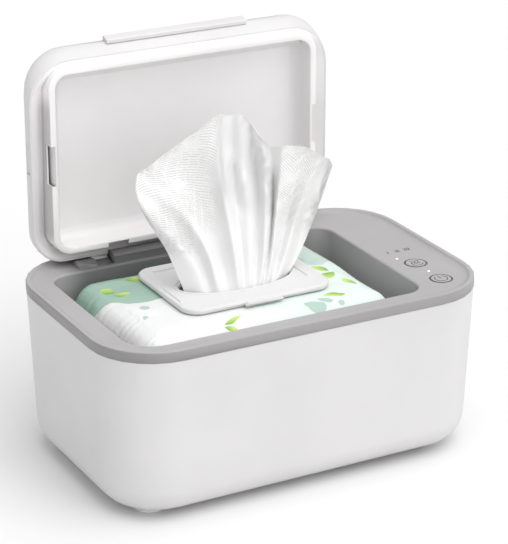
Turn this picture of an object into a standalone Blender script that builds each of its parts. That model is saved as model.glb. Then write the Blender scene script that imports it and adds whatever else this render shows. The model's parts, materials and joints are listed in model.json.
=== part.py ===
"""Baby wipe warmer with an open lid, a refill pack in its heated well and two push buttons.

Metres, +Z up, the front of the warmer faces -Y. The floor is z = 0. Everything is placed from the
middle of the tub, and one empty then centres the open warmer's box over the origin. The lid is
modelled closed, in the frame of its hinge axis, and an empty on that axis holds it open.
"""

from math import cos, pi, radians, sin, sqrt, tan

import bmesh
import bpy
from mathutils import Matrix, Vector

# General clearances and facets
SEAM = 0.0003              # gap that touching pieces keep
OVERRUN = 0.004            # how far a cutter runs past the face that it opens
CORNER_STEPS = 7           # facets of one rounded corner
FILLET_STEPS = 5           # facets of one fillet in section
ROUND_STEPS = 24           # facets of a turned piece
SMALL_STEPS = 12           # facets of a screw, pin or light window

# Tub, the white outer shell
TUB_LENGTH = 0.266
TUB_WIDTH = 0.173
RIM_Z = 0.1163             # top of the grey rim over the floor
TUB_CORNER = 0.043
WALL_DRAFT = radians(2.4)
BOTTOM_FILLET = 0.0185
TUB_WALL = 0.0028
FOOT_HEIGHT = 0.0032

# Base plate and what fastens it
BASE_MARGIN = 0.0025       # flat land of the tub outside the base plate
BASE_LEDGE = 0.003         # how far the tub's bottom lip reaches over the base plate
BASE_CORNER = 0.045
BASE_FLANGE = 0.0013
BASE_THICKNESS = 0.0034
VENT_LENGTH = 0.030
VENT_WIDTH = 0.0024
VENT_PITCH = 0.0065
VENT_COUNT = 6
SCREW_INSET = 0.0745       # base screw to the outside of the tub's short sides
SCREW_RADIUS = 0.0013
SCREW_LENGTH = 0.014
SCREW_HEAD_RADIUS = 0.0030
SCREW_HEAD_HEIGHT = 0.0014
BOSS_RADIUS = 0.0036
FOOT_RADIUS = 0.0055
FOOT_RECESS = 0.0010
FOOT_REACH = 0.0140        # foot centre from the centre of the tub's corner arc

# Grey inner tray: band, bead, deck and well
BAND_HEIGHT = 0.0067
BEAD_WIDTH = 0.0034
BEAD_ROUND = 0.0009
DECK_DROP = 0.0025         # deck below the top of the bead
COVE_WIDTH = 0.0060        # hollow that leads from the deck up to the bead
COVE_RISE = 0.0021
TRAY_WALL = 0.0022
SKIRT_DEPTH = 0.0045
SKIRT_WALL = 0.0016
DECK_LEFT = 0.0195         # deck between the well and the outside of the tub, side by side
DECK_FRONT = 0.0182
CONTROL_MARGIN = 0.0191    # right edge of the buttons to the outside of the tub
WELL_CORNER = 0.0125
WELL_FRONT_CORNER = 0.020  # the front left corner follows the tub's big corner
WELL_FLOOR_Z = 0.040
WELL_DRAFT = radians(1.2)
WELL_EDGE = 0.0015
WELL_FILLET = 0.005

# Heater stack in and under the floor of the well
PLATE_MARGIN = 0.011       # heating plate to the wall of the well
PLATE_LEDGE = 0.006        # ledge of the floor under the heating plate
PLATE_THICKNESS = 0.0015
PLATE_CORNER = 0.0095
PAD_MARGIN = 0.0015        # heater pad to the edge of the floor opening
PAD_THICKNESS = 0.0006
INSULATION_THICKNESS = 0.006
SENSOR_ROOM = 0.030        # right end of the heater pad that the insulation leaves free
SENSOR_RADIUS = 0.0022
SENSOR_LENGTH = 0.007
FUSE_RADIUS = 0.0020
FUSE_LENGTH = 0.012
SENSOR_SPACING = 0.026     # sensor to fuse

# Lid, named in its closed place
LID_LEFT_LAP = 0.003       # how far the lid's edge covers past the well, side by side
LID_RIGHT_LAP = 0.0095
LID_FRONT_LAP = 0.0022
LID_REAR_LAP = 0.0025
LID_FRONT_FLARE = 0.0085   # the front wall leans out by this much up to the crown
LID_SIDE = 0.005           # straight part of the side wall
LID_CROWN_ROUND = 0.012    # inset of the crown's rounding
LID_CROWN_HEIGHT = 0.013   # height of the crown's rounding
LID_DOME = 0.0018          # rise of the crown's middle
LID_DOME_INSET = 0.030
LID_FRONT_CORNER = 0.028
LID_REAR_CORNER = 0.022
LID_WALL = 0.0022
HINGE_SET_BACK = 0.007     # hinge axis behind the lid's rear edge
HINGE_DROP = 0.0066        # hinge axis below the rim
OPEN_ANGLE = radians(90)

# Lid liner: dish, lip frame and flange
LIP_DROP = 0.005           # the lip reaches this far below the lid's edge, into the well
LIP_WIDTH = 0.005
LIP_LEFT_GAP = 0.0085      # lip to the wall of the well, side by side
LIP_RIGHT_GAP = 0.0009
LIP_FRONT_GAP = 0.0015
LIP_REAR_GAP = 0.0035
LIP_CORNER = 0.014
LIP_ROUND = 0.0008
LINER_WALL = 0.0016
DISH_HEIGHT = 0.0125       # floor of the dish over the lid's edge
DISH_FILLET = 0.007
GUTTER_HEIGHT = 0.0085     # hollow between lip and lid wall: its depth beside the lip
GUTTER_FRONT_HEIGHT = 0.002
GUTTER_RIM = 0.0008        # height of the hollow at the lid's edge
GUTTER_BLEND = 0.030       # length over which the hollow grows from the front
GUTTER_STEPS = 4
SIDE_NOTCH_LENGTH = 0.027
REAR_NOTCH_LENGTH = 0.0145
REAR_NOTCH_INSET = 0.0055  # notch centre inside the end of the hump
NOTCH_WIDTH = 0.0034
NOTCH_DEPTH = 0.008

# Front grip of the lid
GRIP_LENGTH = 0.100
GRIP_WIDTH = 0.0065
GRIP_PROUD = 0.0014
GRIP_RISE = 0.0090         # grip's middle over the lid's edge
GRIP_SINK = 0.0012         # how deep the grip bar is rooted in the wall
SCOOP_LENGTH = 0.0205      # finger scoops in the side walls
SCOOP_DEPTH = 0.0013
SCOOP_RADIUS = 0.0055
SCOOP_RISE = 0.0062
SCOOP_BACK = 0.0045        # scoop's middle in front of the lid's middle

# Hinge: hump, lugs, arms and pins
HUMP_INSET = 0.05175       # end of the hump to the end of the lid
HUMP_RADIUS = 0.0105
HUMP_RELIEF = 0.0007       # lid cut-out round the hump
LUG_RADIUS = 0.0075
LUG_WIDTH = 0.0125
HINGE_FRONT_GAP = 0.0005   # lid's rear edge to the hump and lugs
ARM_WIDTH = 0.0115
ARM_GAP = 0.0004
ARM_NECK = 0.0010          # arm's neck in front of its knuckle, where it leaves the pocket
KNUCKLE_RADIUS = 0.0040
ARM_ROOT_LOW = 0.0006      # root of the arm in the lid's rear wall, over the lid's edge
ARM_ROOT_HIGH = 0.0070
POCKET_REACH = 0.0098      # pocket behind the hinge axis
POCKET_WALL = 0.0015
POCKET_ROOM = 0.0008       # pocket block to the inside of the tub's back wall
PIN_RADIUS = 0.0015
PIN_GRIP = 0.008           # length of pin inside the hump
PIN_INSET = 0.0005         # pin's outer end inside the lug

# Control deck: buttons, light windows, board
BUTTON_GAP = 0.0011        # buttons to the closed lid
BUTTON_FRONT = 0.0283      # middle of the power button to the outside of the tub's front
BUTTON_SPACING = 0.0304
BUTTON_RADIUS = 0.0074
BUTTON_PROUD = 0.0002
BUTTON_FLANGE = 0.0011
BUTTON_FLANGE_THICKNESS = 0.0010
BUTTON_TRAVEL = 0.0005
STEM_RADIUS = 0.0015
LIGHT_RADIUS = 0.0010
LIGHT_FLANGE = 0.0006
LIGHT_ROW_RIGHT = 0.0007   # middle light beside the buttons' line
LIGHT_ROW_RISE = 0.0125    # row of lights behind the heat button's middle
LIGHT_PITCH = 0.0072
POWER_LIGHT_RISE = 0.0146  # power light behind the power button's middle
BOARD_DEPTH = 0.0095       # top of the board below the deck
BOARD_THICKNESS = 0.0016
BOARD_LENGTH = 0.074
BOARD_WIDTH = 0.025
BOARD_CORNER = 0.002
BOARD_END = 0.0113         # front end of the board in front of the power button's middle
BOARD_POST_RADIUS = 0.0026
BOARD_SCREW_RADIUS = 0.0010
BOARD_SCREW_LENGTH = 0.0052
BOARD_SCREW_HEAD_RADIUS = 0.0019
BOARD_SCREW_HEAD_HEIGHT = 0.0011
BOARD_SCREW_INSET = 0.0035
SWITCH_SIZE = 0.0060
SWITCH_HEIGHT = 0.0032
PLUNGER_RADIUS = 0.0017
PLUNGER_HEIGHT = 0.0012
LED_LENGTH = 0.0020
LED_WIDTH = 0.0013
LED_HEIGHT = 0.0009
SOCKET_LENGTH = 0.008      # board sockets that the leads plug into
SOCKET_WIDTH = 0.005
SOCKET_HEIGHT = 0.004

# Power inlet and internal leads
INLET_INSET = 0.048        # inlet to the outside of the tub's right side
INLET_Z = 0.030
INLET_RADIUS = 0.0052
INLET_BORE_RADIUS = 0.0029
INLET_BORE_DEPTH = 0.009
INLET_PIN_RADIUS = 0.0010
INLET_FLANGE = 0.0020
INLET_FLANGE_THICKNESS = 0.0016
INLET_BODY = 0.011         # side of the square body behind the flange
INLET_BODY_LENGTH = 0.010
INLET_PROUD = 0.0003
LEAD_RADIUS = 0.0014
LEAD_POINTS = 18
LEAD_LEAVE = 0.029         # pull of a lead's curve away from its start
LEAD_RISE = 0.067          # pull of a lead's curve below its socket on the board

# Refill pack, dispenser plate and wipe
PACK_LEFT_GAP = 0.0075     # pack to the wall of the well, side by side
PACK_RIGHT_GAP = 0.0135
PACK_FRONT_GAP = 0.0025
PACK_REAR_GAP = 0.0025
PACK_CORNER = 0.016
PACK_TOP_DROP = 0.0030     # plateau of the pack below the rim
PACK_SHOULDER_DROP = 0.0095
PACK_SIDE_INSET = 0.006    # drawn-in top and bottom edge of the pack's side
PACK_BULGE_DROP = 0.026    # where the side is widest, below the rim
PACK_PLATEAU_INSET = 0.020
DISPENSER_LENGTH = 0.104
DISPENSER_WIDTH = 0.080
DISPENSER_RIGHT = 0.0035   # plate's middle beside and behind the pack's middle
DISPENSER_REAR = 0.0044
DISPENSER_CORNER = 0.012
DISPENSER_THICKNESS = 0.0034
DISPENSER_EDGE = 0.0008
SLOT_LENGTH = 0.078
SLOT_WIDTH = 0.038
SLOT_LEFT = 0.0005         # slot's middle beside and in front of the plate's middle
SLOT_FRONT = 0.0030
SLOT_STEPS = 36
TAB_LENGTH = 0.026
TAB_REACH = 0.0035
TAB_THICKNESS = 0.0016
WIPE_BASE_LENGTH = 0.066
WIPE_TOP_LENGTH = 0.139
WIPE_HEIGHT = 0.1180
WIPE_RIGHT = 0.0030        # fan's middle beside and in front of the slot's middle
WIPE_FRONT = 0.0010
WIPE_THICKNESS = 0.0012
WIPE_PLEAT = 0.0075        # depth of a main fold at the top of the fan
WIPE_PLEATS = 6
WIPE_ACROSS = 40
WIPE_UP = 8
WIPE_EDGE_SHARES = (       # place across the fan and how much of the height its top edge reaches there
    (-1.0, 0.66), (-0.93, 0.72), (-0.73, 0.79), (-0.51, 0.85), (-0.27, 0.93),
    (-0.15, 0.95), (-0.06, 0.95), (0.08, 0.91), (0.19, 0.83), (0.27, 0.75),
    (0.48, 0.74), (0.67, 0.71), (0.83, 0.67), (0.97, 0.61), (1.0, 0.57),
)

# Places that follow from the sizes above
DECK_Z = RIM_Z - DECK_DROP
DECK_RIGHT = LID_RIGHT_LAP + BUTTON_GAP + 2 * BUTTON_RADIUS + CONTROL_MARGIN
DECK_BACK = LID_REAR_LAP + HINGE_SET_BACK + POCKET_REACH + POCKET_WALL + POCKET_ROOM + TUB_WALL + 2 * SEAM
WELL_LEFT = DECK_LEFT - TUB_LENGTH / 2
WELL_RIGHT = TUB_LENGTH / 2 - DECK_RIGHT
WELL_FRONT = DECK_FRONT - TUB_WIDTH / 2
WELL_BACK = TUB_WIDTH / 2 - DECK_BACK
WELL_X = (WELL_LEFT + WELL_RIGHT) / 2
WELL_Y = (WELL_FRONT + WELL_BACK) / 2
LID_EDGE_Z = DECK_Z + SEAM
LID_LEFT = WELL_LEFT - LID_LEFT_LAP
LID_RIGHT = WELL_RIGHT + LID_RIGHT_LAP
LID_FRONT = WELL_FRONT - LID_FRONT_LAP
LID_REAR = WELL_BACK + LID_REAR_LAP
LID_X = (LID_LEFT + LID_RIGHT) / 2
LID_TOP = LID_SIDE + LID_CROWN_HEIGHT
HINGE_Y = LID_REAR + HINGE_SET_BACK
HINGE_Z = RIM_Z - HINGE_DROP
HINGE_FRONT = LID_REAR + HINGE_FRONT_GAP
HUMP_HALF_LENGTH = (LID_RIGHT - LID_LEFT) / 2 - HUMP_INSET
ARM_NEAR = HUMP_HALF_LENGTH + ARM_GAP
ARM_FAR = ARM_NEAR + ARM_WIDTH
LUG_NEAR = ARM_FAR + ARM_GAP
LUG_FAR = LUG_NEAR + LUG_WIDTH
OPEN_BACK = HINGE_Y + LID_EDGE_Z - HINGE_Z + LID_TOP + LID_DOME
BUTTON_X = LID_RIGHT + BUTTON_GAP + BUTTON_RADIUS
POWER_BUTTON_Y = BUTTON_FRONT - TUB_WIDTH / 2
HEAT_BUTTON_Y = POWER_BUTTON_Y + BUTTON_SPACING
BOARD_TOP = DECK_Z - BOARD_DEPTH
BOARD_Y = POWER_BUTTON_Y - BOARD_END + BOARD_LENGTH / 2
INLET_X = TUB_LENGTH / 2 - INLET_INSET
PLATE_TOP = WELL_FLOOR_Z + SEAM + PLATE_THICKNESS
PACK_TOP = RIM_Z - PACK_TOP_DROP
DISPENSER_X = WELL_X + (PACK_LEFT_GAP - PACK_RIGHT_GAP) / 2 + DISPENSER_RIGHT
DISPENSER_Y = WELL_Y + (PACK_FRONT_GAP - PACK_REAR_GAP) / 2 + DISPENSER_REAR
SLOT_X = DISPENSER_X - SLOT_LEFT
SLOT_Y = DISPENSER_Y - SLOT_FRONT
CENTRE_SHIFT = (TUB_WIDTH / 2 - OPEN_BACK) / 2

MATERIALS = {
    "white_plastic": ((0.86, 0.86, 0.86), 0.38, 0.0),
    "white_liner": ((0.84, 0.84, 0.84), 0.34, 0.0),
    "grey_plastic": ((0.56, 0.55, 0.56), 0.42, 0.0),
    "dark_plastic": ((0.20, 0.20, 0.21), 0.55, 0.0),
    "clear_rubber": ((0.72, 0.74, 0.74), 0.50, 0.0),
    "light_window": ((0.95, 0.96, 0.98), 0.20, 0.0),
    "steel": ((0.62, 0.62, 0.63), 0.32, 1.0),
    "aluminium": ((0.78, 0.79, 0.80), 0.36, 1.0),
    "heater_film": ((0.55, 0.28, 0.07), 0.35, 0.0),
    "insulation": ((0.70, 0.70, 0.68), 0.95, 0.0),
    "board_green": ((0.03, 0.22, 0.10), 0.45, 0.0),
    "lead_black": ((0.05, 0.05, 0.05), 0.50, 0.0),
    "pack_film": ((0.62, 0.85, 0.76), 0.40, 0.0),
    "wipe_cloth": ((0.93, 0.93, 0.93), 0.95, 0.0),
}


def clear_scene():
    """Remove every object of the scene that the script starts in."""
    for item in list(bpy.data.objects):
        bpy.data.objects.remove(item, do_unlink=True)


def material(name):
    """The named finish as a Principled material, made once."""
    found = bpy.data.materials.get(name)
    if found:
        return found
    colour, roughness, metallic = MATERIALS[name]
    made = bpy.data.materials.new(name)
    made.use_nodes = True
    shader = made.node_tree.nodes["Principled BSDF"]
    shader.inputs["Base Color"].default_value = (*colour, 1.0)
    shader.inputs["Roughness"].default_value = roughness
    shader.inputs["Metallic"].default_value = metallic
    made.diffuse_color = (*colour, 1.0)
    return made


def add_object(name, mesh, finish, parent, smooth=radians(35)):
    """Link a mesh as one named object under its parent empty."""
    item = bpy.data.objects.new(name, mesh)
    bpy.context.scene.collection.objects.link(item)
    mesh.materials.append(material(finish))
    mesh.shade_smooth()
    mesh.set_sharp_from_angle(angle=smooth)
    item.parent = parent
    return item


def mesh_from(name, build):
    """Mesh of a bmesh, with its faces turned outwards."""
    bmesh.ops.recalc_face_normals(build, faces=build.faces)
    mesh = bpy.data.meshes.new(name)
    build.to_mesh(mesh)
    build.free()
    return mesh


def add_empty(name, place, parent=None, turn=0.0):
    """An empty on a joint axis, turned about X."""
    empty = bpy.data.objects.new(name, None)
    bpy.context.scene.collection.objects.link(empty)
    empty.parent = parent
    empty.location = place
    empty.rotation_euler = (turn, 0, 0)
    return empty


def outline(left, right, front, back, z, corners):
    """Rounded rectangle at height z; its corners are back right, back left, front left, front right."""
    arcs = (
        (right, back, -1, -1, 0), (left, back, 1, -1, pi / 2),
        (left, front, 1, 1, pi), (right, front, -1, 1, 3 * pi / 2),
    )
    points = []
    for (x, y, side_x, side_y, start), radius in zip(arcs, corners):
        for step in range(CORNER_STEPS + 1):
            angle = start + step * pi / 2 / CORNER_STEPS
            across = x + radius * (side_x + cos(angle))
            points.append((across, y + radius * (side_y + sin(angle)), z))
    return points


def alike(radius):
    """The same radius for all four corners."""
    return (radius, radius, radius, radius)


def around(x, y, half_x, half_y, z, corner):
    """Rounded rectangle about a centre, with four like corners."""
    return outline(x - half_x, x + half_x, y - half_y, y + half_y, z, alike(corner))


def loft(name, loops, ring=False):
    """Skin loops of equal count. A ring joins its last loop to its first, otherwise both ends are capped."""
    build = bmesh.new()
    rows = [[build.verts.new(point) for point in loop] for loop in loops]
    pairs = list(zip(rows, rows[1:]))
    if ring:
        pairs.append((rows[-1], rows[0]))
    else:
        build.faces.new(rows[0])
        build.faces.new(rows[-1])
    for low, high in pairs:
        for index in range(len(low)):
            after = (index + 1) % len(low)
            build.faces.new((low[index], low[after], high[after], high[index]))
    return mesh_from(name, build)


def turned(name, profile, centre=(0, 0, 0), axis="Z", steps=ROUND_STEPS):
    """Solid of revolution from (radius, height) pairs, both of whose ends lie on the axis or are capped."""
    frames = {
        "X": (Vector((0, 1, 0)), Vector((0, 0, 1)), Vector((1, 0, 0))),
        "Y": (Vector((0, 0, 1)), Vector((1, 0, 0)), Vector((0, 1, 0))),
        "Z": (Vector((1, 0, 0)), Vector((0, 1, 0)), Vector((0, 0, 1))),
    }
    across, aside, along = frames[axis]
    middle = Vector(centre)
    loops = []
    for radius, height in profile:
        loops.append([
            middle + along * height
            + across * (radius * cos(2 * pi * step / steps)) + aside * (radius * sin(2 * pi * step / steps))
            for step in range(steps)
        ])
    return loft(name, loops)


def bar(name, low, high):
    """Plain block between two corners."""
    build = bmesh.new()
    bmesh.ops.create_cube(build, size=1.0)
    size = Vector(high) - Vector(low)
    place = Matrix.Translation((Vector(high) + Vector(low)) / 2) @ Matrix.Diagonal((*size, 1))
    bmesh.ops.transform(build, matrix=place, verts=build.verts)
    return mesh_from(name, build)


def extruded(name, profile, start, end):
    """Profile of (y, z) points carried along X from start to end."""
    loops = [[(x, y, z) for y, z in profile] for x in (start, end)]
    return loft(name, loops)


def boolean(item, mesh, operation):
    """Join or cut a mesh with the EXACT solver and apply the result."""
    tool = bpy.data.objects.new(item.name + "_tool", mesh)
    bpy.context.scene.collection.objects.link(tool)
    tool.parent = item.parent
    step = item.modifiers.new(operation.lower(), "BOOLEAN")
    step.operation = operation
    step.solver = "EXACT"
    step.object = tool
    bpy.context.view_layer.update()
    graph = bpy.context.evaluated_depsgraph_get()
    result = bpy.data.meshes.new_from_object(item.evaluated_get(graph))
    item.modifiers.remove(step)
    old = item.data
    item.data = result
    bpy.data.meshes.remove(old)
    bpy.data.objects.remove(tool, do_unlink=True)


def cut(item, mesh):
    """Take a mesh away from an object."""
    boolean(item, mesh, "DIFFERENCE")


def join(item, mesh):
    """Add a mesh to an object as one body."""
    boolean(item, mesh, "UNION")


def quarter(count=FILLET_STEPS):
    """Angles of a quarter turn, both ends included."""
    return [step * pi / 2 / count for step in range(count + 1)]


def rim_section(z, inset):
    """Outline of the upright rim band at height z, moved in by inset."""
    return around(0, 0, TUB_LENGTH / 2 - inset, TUB_WIDTH / 2 - inset, z, TUB_CORNER - inset)


def tub_section(z, inset):
    """Outline of the drafted tub at height z, moved in by inset."""
    return rim_section(z, (RIM_Z - z) * tan(WALL_DRAFT) + inset)


def fillet_section(radius, angle):
    """Outline on the round of the tub's bottom edge, for a radius about the fillet's own axis."""
    z = FOOT_HEIGHT + BOTTOM_FILLET - radius * cos(angle)
    return tub_section(z, BOTTOM_FILLET - radius * sin(angle))


def base_section(z, inset):
    """Outline of the base plate's seat at height z, moved in by inset."""
    reach = (RIM_Z - FOOT_HEIGHT) * tan(WALL_DRAFT) + BOTTOM_FILLET + BASE_MARGIN + inset
    return around(0, 0, TUB_LENGTH / 2 - reach, TUB_WIDTH / 2 - reach, z, BASE_CORNER - inset)


def well_section(z, grow=0):
    """Outline of the drafted well at height z, moved out by grow."""
    reach = (DECK_Z - z) * tan(WELL_DRAFT) - grow
    rear = WELL_CORNER - reach
    corners = (rear, rear, WELL_FRONT_CORNER - reach, rear)
    return outline(WELL_LEFT + reach, WELL_RIGHT - reach, WELL_FRONT + reach, WELL_BACK - reach, z, corners)


def well_fillet_section(radius, angle):
    """Outline on the round at the well's floor, for a radius about the fillet's own axis."""
    return well_section(WELL_FLOOR_Z + WELL_FILLET - radius * cos(angle), radius * sin(angle) - WELL_FILLET)


def floor_half():
    """Half length and half width of the heating plate on the floor of the well."""
    reach = (DECK_Z - WELL_FLOOR_Z) * tan(WELL_DRAFT) + PLATE_MARGIN
    return (WELL_RIGHT - WELL_LEFT) / 2 - reach, (WELL_BACK - WELL_FRONT) / 2 - reach


def floor_section(z, inset):
    """Outline on the floor of the well, at the heating plate's edge moved in by inset."""
    half_x, half_y = floor_half()
    return around(WELL_X, WELL_Y, half_x - inset, half_y - inset, z, PLATE_CORNER)


def foot_places():
    """Centres of the four feet, under the tub's corner arcs."""
    reach = (RIM_Z - FOOT_HEIGHT) * tan(WALL_DRAFT)
    radius = TUB_CORNER - reach
    x = TUB_LENGTH / 2 - reach - radius + FOOT_REACH / sqrt(2)
    y = TUB_WIDTH / 2 - reach - radius + FOOT_REACH / sqrt(2)
    return [(side_x * x, side_y * y) for side_y in (-1, 1) for side_x in (-1, 1)]


def screw_places():
    """Centres of the four base screws, under the floor ledge of the well."""
    half_y = floor_half()[1] - PLATE_LEDGE + BOSS_RADIUS + SEAM
    half_x = TUB_LENGTH / 2 - SCREW_INSET
    return [(x, WELL_Y + y) for y in (-half_y, half_y) for x in (-half_x, half_x)]


def make_tub_shell(parent):
    """White outer shell: drafted wall, round bottom edge, bottom opening with a seat for the base plate."""
    bottom = FOOT_HEIGHT
    loops = [base_section(bottom, 0)]
    loops += [fillet_section(BOTTOM_FILLET, angle) for angle in quarter()]
    top = RIM_Z - BAND_HEIGHT - SEAM
    loops.append(tub_section(top, 0))
    loops.append(tub_section(top, TUB_WALL))
    loops += [fillet_section(BOTTOM_FILLET - TUB_WALL, angle) for angle in reversed(quarter())]
    loops.append(base_section(bottom + TUB_WALL, BASE_LEDGE))
    loops.append(base_section(bottom + BASE_FLANGE + SEAM, BASE_LEDGE))
    loops.append(base_section(bottom + BASE_FLANGE + SEAM, 0))
    shell = add_object("tub_shell", loft("tub_shell", loops, ring=True), "white_plastic", parent)
    for x, y in foot_places():
        recess = [(FOOT_RADIUS + SEAM, bottom - OVERRUN), (FOOT_RADIUS + SEAM, bottom + FOOT_RECESS)]
        cut(shell, turned("recess", recess, (x, y, 0)))
    hole = [(INLET_RADIUS + SEAM, 0), (INLET_RADIUS + SEAM, TUB_WIDTH / 2 + OVERRUN)]
    cut(shell, turned("hole", hole, (INLET_X, 0, INLET_Z), "Y"))


def make_feet(parent):
    """Four soft feet with a rounded lower edge, seated in the tub's bottom."""
    edge = FOOT_HEIGHT / 3
    profile = [
        (FOOT_RADIUS - edge, 0), (FOOT_RADIUS - edge / 3, edge / 3), (FOOT_RADIUS, edge),
        (FOOT_RADIUS, FOOT_HEIGHT + FOOT_RECESS - SEAM),
    ]
    for number, (x, y) in enumerate(foot_places(), 1):
        add_object(f"foot_{number}", turned("foot", profile, (x, y, 0)), "clear_rubber", parent)


def make_base_plate(parent):
    """Flat bottom cover with a stepped edge, counterbored screw holes and two rows of vents."""
    bottom = FOOT_HEIGHT
    loops = [
        base_section(bottom, SEAM),
        base_section(bottom + BASE_FLANGE, SEAM),
        base_section(bottom + BASE_FLANGE, BASE_LEDGE + SEAM),
        base_section(bottom + BASE_THICKNESS, BASE_LEDGE + SEAM),
    ]
    plate = add_object("base_plate", loft("base_plate", loops), "white_plastic", parent)
    for x, y in screw_places():
        head = bottom + SCREW_HEAD_HEIGHT + SEAM
        hole = [
            (SCREW_HEAD_RADIUS + SEAM, bottom - OVERRUN), (SCREW_HEAD_RADIUS + SEAM, head),
            (SCREW_RADIUS + SEAM, head), (SCREW_RADIUS + SEAM, bottom + BASE_THICKNESS + OVERRUN),
        ]
        cut(plate, turned("hole", hole, (x, y, 0), steps=SMALL_STEPS))
    for side in (-1, 1):
        for index in range(VENT_COUNT):
            x = side * (VENT_LENGTH / 2 + VENT_PITCH)
            y = (index - (VENT_COUNT - 1) / 2) * VENT_PITCH
            low = (x - VENT_LENGTH / 2, y - VENT_WIDTH / 2, bottom - OVERRUN)
            high = (x + VENT_LENGTH / 2, y + VENT_WIDTH / 2, bottom + BASE_THICKNESS + OVERRUN)
            cut(plate, bar("vent", low, high))


def make_base_screws(parent):
    """Four screws that go up through the base plate into the tray's bosses."""
    head = FOOT_HEIGHT + SCREW_HEAD_HEIGHT
    edge = SCREW_HEAD_HEIGHT / 2
    tip = head + SCREW_LENGTH
    profile = [
        (SCREW_HEAD_RADIUS - edge, FOOT_HEIGHT + SEAM / 2), (SCREW_HEAD_RADIUS, FOOT_HEIGHT + edge),
        (SCREW_HEAD_RADIUS, head), (SCREW_RADIUS, head), (SCREW_RADIUS, tip - SCREW_RADIUS),
        (SCREW_RADIUS / 4, tip),
    ]
    for number, (x, y) in enumerate(screw_places(), 1):
        mesh = turned("screw", profile, (x, y, 0), steps=SMALL_STEPS)
        add_object(f"base_screw_{number}", mesh, "steel", parent)


def hinge_arc(radius, low, front, back):
    """Hinge profile: an arc about the axis, cut off at front and back, down to low."""
    points = [(HINGE_Y + back, low), (HINGE_Y + back, HINGE_Z + sqrt(radius ** 2 - back ** 2))]
    first = Vector((back, sqrt(radius ** 2 - back ** 2))).angle_signed(Vector((0, 1)))
    last = Vector((front, sqrt(radius ** 2 - front ** 2))).angle_signed(Vector((0, 1)))
    for step in range(1, CORNER_STEPS):
        angle = abs(first) - (abs(first) + abs(last)) * step / CORNER_STEPS
        points.append((HINGE_Y + radius * sin(angle), HINGE_Z + radius * cos(angle)))
    points += [(HINGE_Y + front, HINGE_Z + sqrt(radius ** 2 - front ** 2)), (HINGE_Y + front, low)]
    return points


def add_tray_hinge(tray):
    """Hump, lugs, pocketed block and pin bores at the back of the tray."""
    low = DECK_Z - TRAY_WALL
    front = HINGE_FRONT - HINGE_Y
    hump = hinge_arc(HUMP_RADIUS, low, front, -front)
    join(tray, extruded("hump", hump, LID_X - HUMP_HALF_LENGTH, LID_X + HUMP_HALF_LENGTH))
    block_low = HINGE_Z - KNUCKLE_RADIUS - SEAM - 2 * POCKET_WALL
    block_back = HINGE_Y + POCKET_REACH + POCKET_WALL
    for side in (-1, 1):
        inner = HUMP_HALF_LENGTH - PIN_GRIP - POCKET_WALL
        start, end = sorted((LID_X + side * inner, LID_X + side * LUG_FAR))
        block = bar("block", (start, WELL_BACK + TRAY_WALL / 2, block_low), (end, block_back, low + SEAM))
        join(tray, block)
        start, end = sorted((LID_X + side * LUG_NEAR, LID_X + side * LUG_FAR))
        join(tray, extruded("lug", hinge_arc(LUG_RADIUS, low, front, -front), start, end))
        start, end = sorted((LID_X + side * HUMP_HALF_LENGTH, LID_X + side * LUG_NEAR))
        pocket_low = HINGE_Z - KNUCKLE_RADIUS - SEAM - POCKET_WALL
        pocket_front = HINGE_Y - KNUCKLE_RADIUS - ARM_NECK - 2 * SEAM
        pocket_back = HINGE_Y + POCKET_REACH
        cut(tray, bar("pocket", (start, pocket_front, pocket_low), (end, pocket_back, DECK_Z + OVERRUN)))
        reach = sorted((side * (HUMP_HALF_LENGTH - PIN_GRIP - SEAM), side * (LUG_FAR + OVERRUN)))
        bore = [(PIN_RADIUS + SEAM, reach[0]), (PIN_RADIUS + SEAM, reach[1])]
        cut(tray, turned("bore", bore, (LID_X, HINGE_Y, HINGE_Z), "X"))


def add_control_openings(tray):
    """Button holes, light holes and board posts of the right deck."""
    for y in (HEAT_BUTTON_Y, POWER_BUTTON_Y):
        hole = [(BUTTON_RADIUS + SEAM, DECK_Z - OVERRUN), (BUTTON_RADIUS + SEAM, DECK_Z + OVERRUN)]
        cut(tray, turned("hole", hole, (BUTTON_X, y, 0)))
    for x, y in light_places():
        hole = [(LIGHT_RADIUS + SEAM, DECK_Z - OVERRUN), (LIGHT_RADIUS + SEAM, DECK_Z + OVERRUN)]
        cut(tray, turned("hole", hole, (x, y, 0), steps=SMALL_STEPS))
    for x, y in board_screw_places():
        post = [(BOARD_POST_RADIUS, BOARD_TOP + SEAM), (BOARD_POST_RADIUS, DECK_Z - TRAY_WALL / 2)]
        join(tray, turned("post", post, (x, y, 0)))
        top = BOARD_TOP - BOARD_THICKNESS + BOARD_SCREW_LENGTH + SEAM
        hole = [(BOARD_SCREW_RADIUS + SEAM, BOARD_TOP - OVERRUN), (BOARD_SCREW_RADIUS + SEAM, top)]
        cut(tray, turned("hole", hole, (x, y, 0), steps=SMALL_STEPS))


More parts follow.
